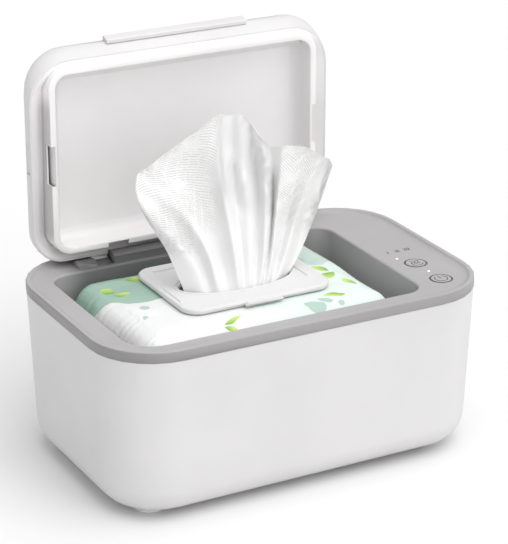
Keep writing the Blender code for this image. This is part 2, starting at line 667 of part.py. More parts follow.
def make_inner_tray(parent):
    """Grey moulding: band and bead, deck, well with an open floor, skirt, hinge and screw bosses."""
    loops = [floor_section(WELL_FLOOR_Z, PLATE_LEDGE)]
    loops += [well_fillet_section(WELL_FILLET, angle) for angle in quarter(3)]
    for angle in quarter(2):
        loops.append(well_section(DECK_Z - WELL_EDGE * (1 - sin(angle)), WELL_EDGE * (1 - cos(angle))))
    for angle in quarter():
        reach = BEAD_WIDTH + COVE_WIDTH * (1 - sin(angle))
        loops.append(rim_section(DECK_Z + COVE_RISE * (1 - cos(angle)), reach))
    band_low = RIM_Z - BAND_HEIGHT
    skirt_low = band_low - SKIRT_DEPTH
    skirt = TUB_WALL + 2 * SEAM
    loops += [
        rim_section(RIM_Z, BEAD_WIDTH - BEAD_ROUND), rim_section(RIM_Z, BEAD_ROUND),
        rim_section(RIM_Z - BEAD_ROUND / 3, BEAD_ROUND / 3), rim_section(RIM_Z - BEAD_ROUND, 0),
        rim_section(band_low, 0), rim_section(band_low, skirt),
        rim_section(skirt_low, skirt), rim_section(skirt_low, skirt + SKIRT_WALL),
        rim_section(DECK_Z - TRAY_WALL, skirt + SKIRT_WALL), well_section(DECK_Z - TRAY_WALL, TRAY_WALL),
    ]
    loops += [well_fillet_section(WELL_FILLET + TRAY_WALL, angle) for angle in reversed(quarter(3))]
    loops.append(floor_section(WELL_FLOOR_Z - TRAY_WALL, PLATE_LEDGE))
    tray = add_object("inner_tray", loft("inner_tray", loops, ring=True), "grey_plastic", parent)
    boss_foot = FOOT_HEIGHT + BASE_THICKNESS + SEAM
    boss = [(BOSS_RADIUS, boss_foot), (BOSS_RADIUS, WELL_FLOOR_Z - TRAY_WALL / 2)]
    hole_top = FOOT_HEIGHT + SCREW_HEAD_HEIGHT + SCREW_LENGTH + SEAM
    hole = [(SCREW_RADIUS + SEAM, boss_foot - OVERRUN), (SCREW_RADIUS + SEAM, hole_top)]
    for x, y in screw_places():
        join(tray, turned("boss", boss, (x, y, 0)))
        cut(tray, turned("hole", hole, (x, y, 0), steps=SMALL_STEPS))
    add_control_openings(tray)
    add_tray_hinge(tray)


def make_heater(parent):
    """Heating plate on its ledge, heater pad, insulation, sensor and thermal fuse below it."""
    loops = [floor_section(z, 0) for z in (WELL_FLOOR_Z + SEAM, PLATE_TOP)]
    add_object("heating_plate", loft("heating_plate", loops), "aluminium", parent)
    pad_top = WELL_FLOOR_Z
    pad_low = pad_top - PAD_THICKNESS
    loops = [floor_section(z, PLATE_LEDGE + PAD_MARGIN) for z in (pad_low, pad_top)]
    add_object("heater_pad", loft("heater_pad", loops), "heater_film", parent)
    half_x, half_y = (half - PLATE_LEDGE - 2 * PAD_MARGIN for half in floor_half())
    x = WELL_X - SENSOR_ROOM / 2
    half_felt = half_x - SENSOR_ROOM / 2
    top = pad_low - SEAM
    levels = (top - INSULATION_THICKNESS, top)
    loops = [around(x, WELL_Y, half_felt, half_y, z, PLATE_CORNER) for z in levels]
    add_object("insulation_pad", loft("insulation_pad", loops), "insulation", parent)
    x = WELL_X + half_x - SENSOR_ROOM / 2
    half = SENSOR_LENGTH / 2
    bead = [
        (SENSOR_RADIUS / 2, -half), (SENSOR_RADIUS, SENSOR_RADIUS / 2 - half),
        (SENSOR_RADIUS, half - SENSOR_RADIUS / 2), (SENSOR_RADIUS / 2, half),
    ]
    mesh = turned("sensor", bead, (x, WELL_Y - SENSOR_SPACING / 2, top - SENSOR_RADIUS), "X", SMALL_STEPS)
    add_object("temperature_sensor", mesh, "dark_plastic", parent)
    tube = [(FUSE_RADIUS, -FUSE_LENGTH / 2), (FUSE_RADIUS, FUSE_LENGTH / 2)]
    mesh = turned("fuse", tube, (x, WELL_Y + SENSOR_SPACING / 2, top - FUSE_RADIUS), "Y", SMALL_STEPS)
    add_object("thermal_fuse", mesh, "steel", parent)


def light_places():
    """Centres of the light windows: the power light first, then the row of three."""
    middle = BUTTON_X + LIGHT_ROW_RIGHT
    row = [(middle + x, HEAT_BUTTON_Y + LIGHT_ROW_RISE) for x in (-LIGHT_PITCH, 0, LIGHT_PITCH)]
    return [(BUTTON_X, POWER_BUTTON_Y + POWER_LIGHT_RISE)] + row


def board_screw_places():
    """Centres of the two board screws, at the ends of the board."""
    y = BOARD_LENGTH / 2 - BOARD_SCREW_INSET
    x = BUTTON_X - BOARD_WIDTH / 2 + BOARD_SCREW_INSET
    return [(x, BOARD_Y - y), (x, BOARD_Y + y)]


def make_button(name, y, parent):
    """Round push button: cap flush in the deck, flange below it and a stem over its switch."""
    flange_top = -TRAY_WALL - SEAM
    flange_low = flange_top - BUTTON_FLANGE_THICKNESS
    switch_top = -BOARD_DEPTH + SWITCH_HEIGHT + PLUNGER_HEIGHT
    edge = BUTTON_PROUD + BUTTON_FLANGE_THICKNESS / 4
    profile = [
        (STEM_RADIUS, switch_top + BUTTON_TRAVEL + SEAM), (STEM_RADIUS, flange_low),
        (BUTTON_RADIUS + BUTTON_FLANGE, flange_low), (BUTTON_RADIUS + BUTTON_FLANGE, flange_top),
        (BUTTON_RADIUS, flange_top), (BUTTON_RADIUS, BUTTON_PROUD - edge),
        (BUTTON_RADIUS - edge, BUTTON_PROUD),
    ]
    key = add_object(name, turned(name, profile), "grey_plastic", parent)
    key.location = (BUTTON_X, y, DECK_Z)


def make_control_board(parent):
    """Board with the two lead sockets below it, and its two screws."""
    low = BOARD_TOP - BOARD_THICKNESS
    half_x, half_y = BOARD_WIDTH / 2, BOARD_LENGTH / 2
    loops = [around(BUTTON_X, BOARD_Y, half_x, half_y, z, BOARD_CORNER) for z in (low, BOARD_TOP)]
    board = add_object("control_board", loft("control_board", loops), "board_green", parent)
    for x, y in board_screw_places():
        hole = [(BOARD_SCREW_RADIUS + SEAM, low - OVERRUN), (BOARD_SCREW_RADIUS + SEAM, BOARD_TOP + OVERRUN)]
        cut(board, turned("hole", hole, (x, y, 0), steps=SMALL_STEPS))
    for x, y in socket_places():
        corner = (x - SOCKET_WIDTH / 2, y - SOCKET_LENGTH / 2, low - SOCKET_HEIGHT)
        far = (x + SOCKET_WIDTH / 2, y + SOCKET_LENGTH / 2, low + BOARD_THICKNESS / 2)
        join(board, bar("socket", corner, far))
    head = low - SEAM
    tip = head + BOARD_SCREW_LENGTH
    profile = [
        (BOARD_SCREW_HEAD_RADIUS, head - BOARD_SCREW_HEAD_HEIGHT), (BOARD_SCREW_HEAD_RADIUS, head),
        (BOARD_SCREW_RADIUS, head), (BOARD_SCREW_RADIUS, tip - BOARD_SCREW_RADIUS),
        (BOARD_SCREW_RADIUS / 4, tip),
    ]
    for number, (x, y) in enumerate(board_screw_places(), 1):
        mesh = turned("screw", profile, (x, y, 0), steps=SMALL_STEPS)
        add_object(f"board_screw_{number}", mesh, "steel", parent)


def make_switches(parent):
    """Two tact switches with round plungers, each under its button's stem."""
    base = BOARD_TOP + SEAM
    top = BOARD_TOP + SWITCH_HEIGHT
    half = SWITCH_SIZE / 2
    for name, y in (("switch_heat", HEAT_BUTTON_Y), ("switch_power", POWER_BUTTON_Y)):
        body = bar(name, (BUTTON_X - half, y - half, base), (BUTTON_X + half, y + half, top))
        switch = add_object(name, body, "dark_plastic", parent)
        plunger = [(PLUNGER_RADIUS, base), (PLUNGER_RADIUS, top + PLUNGER_HEIGHT)]
        join(switch, turned("plunger", plunger, (BUTTON_X, y, 0), steps=SMALL_STEPS))


def make_lights(parent):
    """Four LEDs on the board, each under a flanged light window that ends flush with the deck."""
    base = BOARD_TOP + SEAM
    flange = DECK_Z - TRAY_WALL - SEAM
    profile = [
        (LIGHT_RADIUS, base + LED_HEIGHT + SEAM), (LIGHT_RADIUS, flange - LIGHT_FLANGE),
        (LIGHT_RADIUS + LIGHT_FLANGE, flange - LIGHT_FLANGE), (LIGHT_RADIUS + LIGHT_FLANGE, flange),
        (LIGHT_RADIUS, flange), (LIGHT_RADIUS, DECK_Z),
    ]
    half_x, half_y = LED_WIDTH / 2, LED_LENGTH / 2
    for name, (x, y) in zip(("power", "level_1", "level_2", "level_3"), light_places()):
        chip = bar(name, (x - half_x, y - half_y, base), (x + half_x, y + half_y, base + LED_HEIGHT))
        add_object("led_" + name, chip, "light_window", parent)
        window = turned("window", profile, (x, y, 0), steps=SMALL_STEPS)
        add_object("light_window_" + name, window, "light_window", parent)


def socket_places():
    """Centres of the two lead sockets under the board: power first, then heater."""
    x = BUTTON_X + BOARD_WIDTH / 4
    return [(x, BOARD_Y + BOARD_LENGTH / 3), (x, BOARD_Y - BOARD_LENGTH / 12)]


def inlet_wall():
    """Outer face of the back wall at the inlet's height."""
    return TUB_WIDTH / 2 - (RIM_Z - INLET_Z) * tan(WALL_DRAFT)


def inlet_flange_face():
    """Face of the inlet's flange that lies against the inside of the back wall."""
    return inlet_wall() - TUB_WALL - tan(WALL_DRAFT) * (INLET_RADIUS + INLET_FLANGE) - SEAM


def inlet_inner_end():
    """Inner end of the inlet's body, where the power lead leaves it."""
    return inlet_flange_face() - INLET_FLANGE_THICKNESS - INLET_BODY_LENGTH


def make_power_inlet(parent):
    """Low-voltage socket in the back wall: collar, flange inside the wall, square body, bore with a pin."""
    place = (INLET_X, 0, INLET_Z)
    face = inlet_flange_face()
    mouth = inlet_wall() + INLET_PROUD
    collar = [
        (INLET_RADIUS + INLET_FLANGE, face - INLET_FLANGE_THICKNESS), (INLET_RADIUS + INLET_FLANGE, face),
        (INLET_RADIUS, face), (INLET_RADIUS, mouth),
    ]
    inlet = add_object("power_inlet", turned("power_inlet", collar, place, "Y"), "dark_plastic", parent)
    half = INLET_BODY / 2
    back = face - INLET_FLANGE_THICKNESS / 2
    low = (INLET_X - half, inlet_inner_end(), INLET_Z - half)
    join(inlet, bar("body", low, (INLET_X + half, back, INLET_Z + half)))
    deep = mouth - INLET_BORE_DEPTH
    cut(inlet, turned("bore", [(INLET_BORE_RADIUS, deep), (INLET_BORE_RADIUS, mouth + OVERRUN)], place, "Y"))
    pin = [(INLET_PIN_RADIUS, deep - INLET_PIN_RADIUS), (INLET_PIN_RADIUS, mouth - INLET_PIN_RADIUS)]
    join(inlet, turned("pin", pin, place, "Y", SMALL_STEPS))


def bezier(points, count):
    """Points along a cubic Bezier through its four controls."""
    start, leave, arrive, end = (Vector(point) for point in points)
    path = []
    for step in range(count + 1):
        t = step / count
        rest = 1 - t
        ends = rest ** 3 * start + t ** 3 * end
        path.append(ends + 3 * rest ** 2 * t * leave + 3 * rest * t ** 2 * arrive)
    return path


def make_lead(name, points, parent):
    """Internal lead as a round tube on a smooth curve."""
    curve = bpy.data.curves.new(name, "CURVE")
    curve.dimensions = "3D"
    curve.bevel_depth = LEAD_RADIUS
    curve.bevel_resolution = 2
    curve.use_fill_caps = True
    spline = curve.splines.new("POLY")
    path = bezier(points, LEAD_POINTS)
    spline.points.add(len(path) - 1)
    for point, place in zip(spline.points, path):
        point.co = (*place, 1.0)
    item = bpy.data.objects.new(name, curve)
    bpy.context.scene.collection.objects.link(item)
    curve.materials.append(material("lead_black"))
    item.parent = parent


def make_leads(parent):
    """Power lead from the inlet, and heater lead from the heater pad, both up to the board's sockets."""
    socket = BOARD_TOP - BOARD_THICKNESS - SOCKET_HEIGHT - SEAM
    (power_x, power_y), (heater_x, heater_y) = socket_places()
    start = inlet_inner_end() - SEAM
    make_lead("power_lead", [
        (INLET_X, start, INLET_Z), (INLET_X, start - LEAD_LEAVE, INLET_Z),
        (power_x, power_y, socket - LEAD_RISE), (power_x, power_y, socket),
    ], parent)
    pad_x = WELL_X + floor_half()[0] - PLATE_LEDGE - 2 * PAD_MARGIN - SENSOR_ROOM / 4
    pad_low = WELL_FLOOR_Z - PAD_THICKNESS - SEAM
    make_lead("heater_lead", [
        (pad_x, heater_y, pad_low), (pad_x, heater_y, pad_low - LEAD_LEAVE),
        (heater_x, heater_y, socket - LEAD_RISE), (heater_x, heater_y, socket),
    ], parent)


def lid_front(height):
    """Front face of the closed lid at a height over its edge: it flares out up to the crown."""
    share = min(max(height / LID_TOP, 0), 1)
    return LID_FRONT - LID_FRONT_FLARE * sin(share * pi / 2)


def lid_section(height, inset):
    """Outline of the closed lid at a height over its edge, moved in, in the hinge axis's frame."""
    front = lid_front(height) - HINGE_Y + inset
    back = LID_REAR - HINGE_Y - inset
    rear, first = (max(full - inset, full / 4) for full in (LID_REAR_CORNER, LID_FRONT_CORNER))
    half = (LID_RIGHT - LID_LEFT) / 2 - inset
    return outline(-half, half, front, back, LID_EDGE_Z + height - HINGE_Z, (rear, rear, first, first))


def lip_section(height, grow):
    """Outline of the liner's lip at a height over the lid's edge: its inner edge moved out by grow."""
    z = LID_EDGE_Z + height - HINGE_Z
    rest = LIP_WIDTH - grow
    return outline(WELL_LEFT + LIP_LEFT_GAP + rest - LID_X, WELL_RIGHT - LIP_RIGHT_GAP - rest - LID_X,
                   WELL_FRONT + LIP_FRONT_GAP + rest - HINGE_Y, WELL_BACK - LIP_REAR_GAP - rest - HINGE_Y,
                   z, alike(LIP_CORNER - rest))


def dish_section(radius, angle):
    """Outline on the round at the dish's floor, for a radius about the fillet's own axis."""
    return lip_section(DISH_HEIGHT - DISH_FILLET + radius * cos(angle), radius * sin(angle) - DISH_FILLET)


def gutter_section(share, lift, width):
    """Hollow of the liner from lip (share 0) to lid wall (share 1), shallow at the front."""
    edge = LID_EDGE_Z - HINGE_Z
    start = WELL_FRONT + LIP_FRONT_GAP - HINGE_Y
    points = []
    for near, far in zip(lip_section(0, width), lid_section(0, LID_WALL + SEAM)):
        blend = min(max((near[1] - start) / GUTTER_BLEND, 0), 1)
        blend = blend * blend * (3 - 2 * blend)
        deep = GUTTER_FRONT_HEIGHT + (GUTTER_HEIGHT - GUTTER_FRONT_HEIGHT) * blend
        height = GUTTER_RIM + (deep - GUTTER_RIM) * cos(share * pi / 2) + lift
        x = near[0] + (far[0] - near[0]) * share
        y = near[1] + (far[1] - near[1]) * share
        points.append((x, y, edge + height))
    return points


def arm_profile():
    """Side view of a hinge arm about the axis: round knuckle, neck up out of the pocket, root in the lid."""
    edge = LID_EDGE_Z - HINGE_Z
    root = LID_REAR - HINGE_Y - LID_WALL / 2
    low = edge + ARM_ROOT_LOW
    points = [(root, low), (-KNUCKLE_RADIUS - ARM_NECK, low)]
    upper = pi / 2 - pi / 8
    turns = 2 * CORNER_STEPS
    for step in range(turns + 1):
        angle = pi + (pi + upper) * step / turns
        points.append((KNUCKLE_RADIUS * cos(angle), KNUCKLE_RADIUS * sin(angle)))
    points.append((root, edge + ARM_ROOT_HIGH))
    return points


def make_lid_shell(hinge):
    """White outer half of the lid: flared front, rounded crown, grip bar, scoops and two hinge arms."""
    outer = [(0, LID_WALL / 6), (LID_WALL / 4, 0), (LID_SIDE, 0)]
    inner = [(0, LID_WALL * 2 / 3), (LID_SIDE, LID_WALL)]
    for angle in quarter()[1:]:
        outer.append((LID_SIDE + LID_CROWN_HEIGHT * sin(angle), LID_CROWN_ROUND * (1 - cos(angle))))
        inner.append((LID_SIDE + (LID_CROWN_HEIGHT - LID_WALL) * sin(angle),
                      LID_WALL + (LID_CROWN_ROUND - LID_WALL) * (1 - cos(angle))))
    outer += [(LID_TOP + LID_DOME * 3 / 4, LID_CROWN_ROUND + LID_DOME_INSET / 2),
              (LID_TOP + LID_DOME, LID_CROWN_ROUND + LID_DOME_INSET)]
    loops = [lid_section(height, inset) for height, inset in reversed(inner)]
    loops += [lid_section(height, inset) for height, inset in outer]
    shell = add_object("lid_shell", loft("lid_shell", loops), "white_plastic", hinge)
    edge = LID_EDGE_Z - HINGE_Z
    front = lid_front(GRIP_RISE) - HINGE_Y
    low = edge + GRIP_RISE - GRIP_WIDTH / 2
    high = edge + GRIP_RISE + GRIP_WIDTH / 2
    bevel = GRIP_PROUD / 2
    grip = [
        (front + GRIP_SINK, low), (front - bevel, low), (front - GRIP_PROUD, low + bevel),
        (front - 2 * GRIP_PROUD, high - bevel), (front - 2 * GRIP_PROUD + bevel, high),
        (front + GRIP_SINK, high),
    ]
    join(shell, extruded("grip", grip, -GRIP_LENGTH / 2, GRIP_LENGTH / 2))
    middle = (LID_FRONT + LID_REAR) / 2 - SCOOP_BACK - HINGE_Y
    for side in (-1, 1):
        x = side * ((LID_RIGHT - LID_LEFT) / 2 + SCOOP_RADIUS - SCOOP_DEPTH)
        scoop = [(SCOOP_RADIUS, -SCOOP_LENGTH / 2), (SCOOP_RADIUS, SCOOP_LENGTH / 2)]
        cut(shell, turned("scoop", scoop, (x, middle, edge + SCOOP_RISE), "Y"))
        ends = sorted((side * ARM_NEAR, side * ARM_FAR))
        join(shell, extruded("arm", arm_profile(), *ends))
        reach = sorted((side * (ARM_NEAR - OVERRUN), side * (ARM_FAR + OVERRUN)))
        bore = [(PIN_RADIUS + SEAM, reach[0]), (PIN_RADIUS + SEAM, reach[1])]
        cut(shell, turned("bore", bore, (0, 0, 0), "X"))
    relief = HUMP_RADIUS + HUMP_RELIEF
    half = HUMP_HALF_LENGTH + ARM_GAP / 2
    cut(shell, turned("relief", [(relief, -half), (relief, half)], (0, 0, 0), "X", 2 * ROUND_STEPS))


def make_lid_liner(hinge):
    """White inner half of the lid: deep dish, lip frame that plugs the well, gutter flange, clip notches."""
    drop = -LIP_DROP
    dish = DISH_HEIGHT
    front_side = [lip_section(dish, -DISH_FILLET)]
    front_side += [dish_section(DISH_FILLET, angle) for angle in quarter(4)[1:]]
    front_side += [
        lip_section(drop + LIP_ROUND, 0), lip_section(drop, LIP_ROUND),
        lip_section(drop, LIP_WIDTH - LIP_ROUND), lip_section(drop + LIP_ROUND, LIP_WIDTH),
    ]
    wall = LINER_WALL
    shares = [step / GUTTER_STEPS for step in range(GUTTER_STEPS + 1)]
    front_side += [gutter_section(share, 0, LIP_WIDTH) for share in shares]
    back_side = [gutter_section(share, wall, LIP_WIDTH - wall) for share in reversed(shares)]
    back_side += [lip_section(drop + wall, LIP_WIDTH - wall), lip_section(drop + wall, wall)]
    back_side += [dish_section(DISH_FILLET + wall, angle) for angle in reversed(quarter(4))]
    liner = add_object("lid_liner", loft("lid_liner", front_side + back_side), "white_liner", hinge)
    edge = LID_EDGE_Z - HINGE_Z
    low = edge - LIP_DROP - OVERRUN
    high = edge - LIP_DROP + NOTCH_DEPTH
    middle = (LID_FRONT + LID_REAR) / 2 - HINGE_Y
    for side, wall_x, gap in ((-1, WELL_LEFT, LIP_LEFT_GAP), (1, WELL_RIGHT, LIP_RIGHT_GAP)):
        lip_x = wall_x - side * gap - LID_X
        ends = sorted((lip_x - side * NOTCH_WIDTH, lip_x + side * SEAM))
        cut(liner, bar("notch", (ends[0], middle - SIDE_NOTCH_LENGTH / 2, low),
                       (ends[1], middle + SIDE_NOTCH_LENGTH / 2, high)))
        lip_y = WELL_BACK - LIP_REAR_GAP - HINGE_Y
        x = side * (HUMP_HALF_LENGTH - REAR_NOTCH_INSET)
        cut(liner, bar("notch", (x - REAR_NOTCH_LENGTH / 2, lip_y - NOTCH_WIDTH, low),
                       (x + REAR_NOTCH_LENGTH / 2, lip_y + SEAM, high)))


def make_hinge_pins(parent):
    """Two steel pins through lug and arm into the hump."""
    for name, side in (("hinge_pin_left", -1), ("hinge_pin_right", 1)):
        reach = sorted((side * (HUMP_HALF_LENGTH - PIN_GRIP), side * (LUG_FAR - PIN_INSET)))
        edge = PIN_RADIUS / 4
        profile = [
            (PIN_RADIUS - edge, reach[0]), (PIN_RADIUS, reach[0] + edge),
            (PIN_RADIUS, reach[1] - edge), (PIN_RADIUS - edge, reach[1]),
        ]
        mesh = turned("pin", profile, (LID_X, HINGE_Y, HINGE_Z), "X", SMALL_STEPS)
        add_object(name, mesh, "steel", parent)


def pack_section(z, inset):
    """Outline of the refill pack at height z, moved in by inset."""
    draft = (DECK_Z - z) * tan(WELL_DRAFT) + inset
    return outline(WELL_LEFT + PACK_LEFT_GAP + draft, WELL_RIGHT - PACK_RIGHT_GAP - draft,
                   WELL_FRONT + PACK_FRONT_GAP + draft, WELL_BACK - PACK_REAR_GAP - draft,
                   z, alike(max(PACK_CORNER - inset / 2, PACK_CORNER / 2)))


def make_refill_pack(parent):
    """Soft pack of wipes: drawn-in lower edge, bulging sides, rounded shoulder and a crowned top."""
    low = PLATE_TOP + SEAM
    bulge = RIM_Z - PACK_BULGE_DROP
    shoulder = RIM_Z - PACK_SHOULDER_DROP
    side = PACK_SIDE_INSET
    crown = PACK_PLATEAU_INSET - side
    loops = []
    for angle in quarter(3):
        loops.append(pack_section(low + side * (1 - cos(angle)), side * (1 - sin(angle))))
    for angle in quarter(4):
        loops.append(pack_section(bulge + (shoulder - bulge) * sin(angle), side * (1 - cos(angle))))
    for angle in quarter(4)[1:]:
        z = shoulder + (PACK_TOP - shoulder) * sin(angle)
        loops.append(pack_section(z, side + crown * (1 - cos(angle))))
    add_object("refill_pack", loft("refill_pack", loops), "pack_film", parent, smooth=radians(60))


def make_dispenser_plate(parent):
    """Rigid plate on the pack: rounded outline, oval slot and a catch tab at the front."""
    low = PACK_TOP + SEAM
    top = low + DISPENSER_THICKNESS
    edge = DISPENSER_EDGE
    loops = [
        around(DISPENSER_X, DISPENSER_Y, DISPENSER_LENGTH / 2 - inset, DISPENSER_WIDTH / 2 - inset,
               z, DISPENSER_CORNER - inset)
        for z, inset in ((low, edge), (low + edge, 0), (top - edge, 0), (top, edge))
    ]
    plate = add_object("dispenser_plate", loft("dispenser_plate", loops), "white_liner", parent)
    front = DISPENSER_Y - DISPENSER_WIDTH / 2
    join(plate, bar("tab", (SLOT_X - TAB_LENGTH / 2, front - TAB_REACH, top - TAB_THICKNESS - edge),
                    (SLOT_X + TAB_LENGTH / 2, front + TAB_REACH, top - edge)))
    slot = []
    for z, grow in ((low - OVERRUN, 0), (top - edge, 0), (top + OVERRUN, edge + OVERRUN)):
        half_x, half_y = SLOT_LENGTH / 2 + grow, SLOT_WIDTH / 2 + grow
        angles = [2 * pi * step / SLOT_STEPS for step in range(SLOT_STEPS)]
        slot.append([(SLOT_X + half_x * cos(angle), SLOT_Y + half_y * sin(angle), z) for angle in angles])
    cut(plate, loft("slot", slot))


def wipe_top(across):
    """Share of the full height that the fan reaches at a place from -1 (left) to 1 (right)."""
    for (start, low), (end, high) in zip(WIPE_EDGE_SHARES, WIPE_EDGE_SHARES[1:]):
        if across <= end:
            return low + (high - low) * (across - start) / (end - start)
    return WIPE_EDGE_SHARES[-1][1]


def wipe_point(across, up, side):
    """Point of the fan: it widens upwards, stands in pleats that deepen, and leans a little forward."""
    height = WIPE_HEIGHT * wipe_top(across) * up
    half = (WIPE_BASE_LENGTH + (WIPE_TOP_LENGTH - WIPE_BASE_LENGTH) * sin(up * pi / 2)) / 2
    depth = WIPE_PLEAT * (1 + up) / 2
    fold = depth * cos(across * pi * WIPE_PLEATS)
    gather = SLOT_WIDTH / 4 * (1 - across ** 2) * (1 - up)
    lean = WIPE_PLEAT * up ** 2
    y = SLOT_Y - WIPE_FRONT + fold - gather - lean + side * WIPE_THICKNESS / 2
    return (SLOT_X + WIPE_RIGHT + half * across, y, PACK_TOP + SEAM + height)


def make_wipe(parent):
    """The pulled-up wipe as one thin pleated fan, a closed skin over a grid."""
    build = bmesh.new()
    places = [2 * i / WIPE_ACROSS - 1 for i in range(WIPE_ACROSS + 1)]
    rims = []
    for side in (-1, 1):
        levels = [j / WIPE_UP for j in range(WIPE_UP + 1)]
        grid = [[build.verts.new(wipe_point(x, up, side)) for x in places] for up in levels]
        for low, high in zip(grid, grid[1:]):
            for i in range(WIPE_ACROSS):
                build.faces.new((low[i], low[i + 1], high[i + 1], high[i]))
        right = [row[-1] for row in grid[:-1]]
        left = [row[0] for row in grid[:0:-1]]
        rims.append(grid[0][:-1] + right + grid[-1][:0:-1] + left)
    front, back = rims
    for index in range(len(front)):
        after = (index + 1) % len(front)
        build.faces.new((front[index], front[after], back[after], back[index]))
    add_object("wipe", mesh_from("wipe", build), "wipe_cloth", parent, smooth=radians(80))


def main():
    """Build the whole warmer."""
    clear_scene()
    warmer = add_empty("warmer", (0, CENTRE_SHIFT, 0))
    hinge = add_empty("lid_hinge_axis", (LID_X, HINGE_Y, HINGE_Z), warmer, -OPEN_ANGLE)
    make_tub_shell(warmer)
    make_feet(warmer)
    make_base_plate(warmer)
    make_base_screws(warmer)
    make_inner_tray(warmer)
    make_heater(warmer)
    make_control_board(warmer)
    make_switches(warmer)
    make_lights(warmer)
    make_button("button_heat", HEAT_BUTTON_Y, warmer)
    make_button("button_power", POWER_BUTTON_Y, warmer)
    make_power_inlet(warmer)
    make_leads(warmer)
    make_hinge_pins(warmer)
    make_refill_pack(warmer)
    make_dispenser_plate(warmer)
    make_wipe(warmer)
    make_lid_shell(hinge)
    make_lid_liner(hinge)


main()
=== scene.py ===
"""Looks of the wipe warmer: its finishes, the printed refill pack, the pulled-up wipe, the dispenser's
ridges, the signs on the control deck, and the studio round it. Everything is in metres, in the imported
model's frame, and every new piece has its place in its mesh.
"""

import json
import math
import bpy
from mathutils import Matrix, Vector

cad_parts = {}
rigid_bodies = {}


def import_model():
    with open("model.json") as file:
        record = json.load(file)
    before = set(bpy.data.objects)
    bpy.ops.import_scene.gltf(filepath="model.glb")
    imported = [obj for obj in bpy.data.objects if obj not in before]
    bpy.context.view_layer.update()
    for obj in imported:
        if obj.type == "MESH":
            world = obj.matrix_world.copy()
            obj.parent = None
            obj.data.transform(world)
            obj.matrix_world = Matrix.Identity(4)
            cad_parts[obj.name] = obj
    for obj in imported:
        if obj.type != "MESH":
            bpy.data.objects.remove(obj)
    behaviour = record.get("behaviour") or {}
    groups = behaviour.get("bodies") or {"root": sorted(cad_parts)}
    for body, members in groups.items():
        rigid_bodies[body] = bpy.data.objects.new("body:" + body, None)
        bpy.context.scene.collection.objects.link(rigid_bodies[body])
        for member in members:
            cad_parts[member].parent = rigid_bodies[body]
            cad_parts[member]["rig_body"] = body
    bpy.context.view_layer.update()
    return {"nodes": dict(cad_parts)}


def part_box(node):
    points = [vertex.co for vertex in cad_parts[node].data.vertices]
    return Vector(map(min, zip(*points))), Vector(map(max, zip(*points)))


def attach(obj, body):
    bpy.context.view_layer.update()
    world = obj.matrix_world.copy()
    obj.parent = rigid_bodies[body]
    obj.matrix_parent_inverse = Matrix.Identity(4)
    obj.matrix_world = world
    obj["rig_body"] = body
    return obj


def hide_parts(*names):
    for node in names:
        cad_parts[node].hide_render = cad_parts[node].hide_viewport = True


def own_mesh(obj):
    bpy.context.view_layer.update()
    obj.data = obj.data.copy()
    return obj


bl_info = {
    "name": "Wipe warmer looks",
    "version": (1, 0, 0),
    "blender": (4, 5, 0),
    "location": "3D View > Sidebar > Warmer",
    "description": "Finishes, soft goods and studio for the packed wipe warmer",
    "category": "Object",
}

import bmesh
import bpy
import numpy as np
from bpy.props import FloatProperty, FloatVectorProperty, PointerProperty

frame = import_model()


def box_of(name):
    """Low and high corner of a CAD node's box."""
    return [np.array(corner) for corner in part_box(name)]


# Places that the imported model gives
PACK_LOW, PACK_HIGH = box_of("refill_pack")
PACK_MIDDLE = (PACK_LOW[:2] + PACK_HIGH[:2]) / 2
PLATE_LOW, PLATE_HIGH = box_of("dispenser_plate")
TRAY_LOW, TRAY_HIGH = box_of("inner_tray")
LINER_LOW, LINER_HIGH = box_of("lid_liner")
DECK_Z = box_of("light_window_level_1")[1][2]

# The dispenser's oval slot: its middle, and half its length and width
SLOT_SHIFT, SLOT_FROM_BACK = 0.0005, 0.043
SLOT = np.array([(PLATE_LOW[0] + PLATE_HIGH[0]) / 2 - SLOT_SHIFT, PLATE_HIGH[1] - SLOT_FROM_BACK])
SLOT_HALF = np.array([0.039, 0.019])

# The lid's edge, which the liner's lip stands out of, the groove along the left side of that lip, how dark
# its painted shade is and how far that covers, and where the lid's arms, which get painted shade, begin in
# front of the edge
LIP_HEIGHT = 0.005
LID_EDGE = LINER_LOW[1] + LIP_HEIGHT
GROOVE_LEFT, LIP_LEFT = LINER_LOW[0] + 0.002, -0.1046
GROOVE_LOW, GROOVE_HIGH = LINER_LOW[2] + 0.020, LINER_HIGH[2] - 0.030
GROOVE_SHADE, GROOVE_COVER = 0.55, 0.75
ARM_FADE = (LID_EDGE - 0.0008, LID_EDGE - 0.0002)

# The liner's rim: how near its points lie to one level, how far the hollow behind it stays in front of the
# shell, and the stretch from the lid's front over which that hollow is filled
SAME_LEVEL, HOLLOW_LIFT = 1e-5, 0.00002
HOLLOW_FROM, HOLLOW_FULL = 0.017, 0.003

# The tray's rim, a rectangle with round corners, 3 mm over the pack, and the hinge hump behind the well, both
# with painted shade
RIM_Z = PACK_HIGH[2] + 0.003
RIM_CORNER = 0.043
RIM_STRAIGHT = (TRAY_HIGH - TRAY_LOW)[:2] / 2 - RIM_CORNER
RIM_MIDDLE = (TRAY_HIGH[1] + TRAY_LOW[1]) / 2
RIM_SKIN = (-0.0009, -0.0004)  # from the outline, where the rim's outer side begins
RIM_LEFT_END = (-0.125, -0.075)  # from the left, where the rim's painted shade changes to that of the rest
# Shares of painted shade on the tray: the rim's outer side at its left end and elsewhere, the hinge hump's
# top and the well's back wall
RIM_LEFT_SHADE, RIM_SHADE, HUMP_SHADE, WALL_SHADE = 0.45, 0.27, 0.97, 0.64
HUMP_LEFT, HUMP_RIGHT, HUMP_FRONT = -0.095, 0.076, LID_EDGE - 0.0175
HUMP_FADE, WALL_FADE = 0.012, 0.004
HUMP_TOP = (HUMP_FRONT + 0.002, HUMP_FRONT + 0.006)

# The feet under the tub: height of their free part, height of the stretch over which their spread fades,
# and how near the axis a point counts as on it
FOOT_FREE, FOOT_FADE, FOOT_AXIS = 0.0031, 0.0004, 1e-4

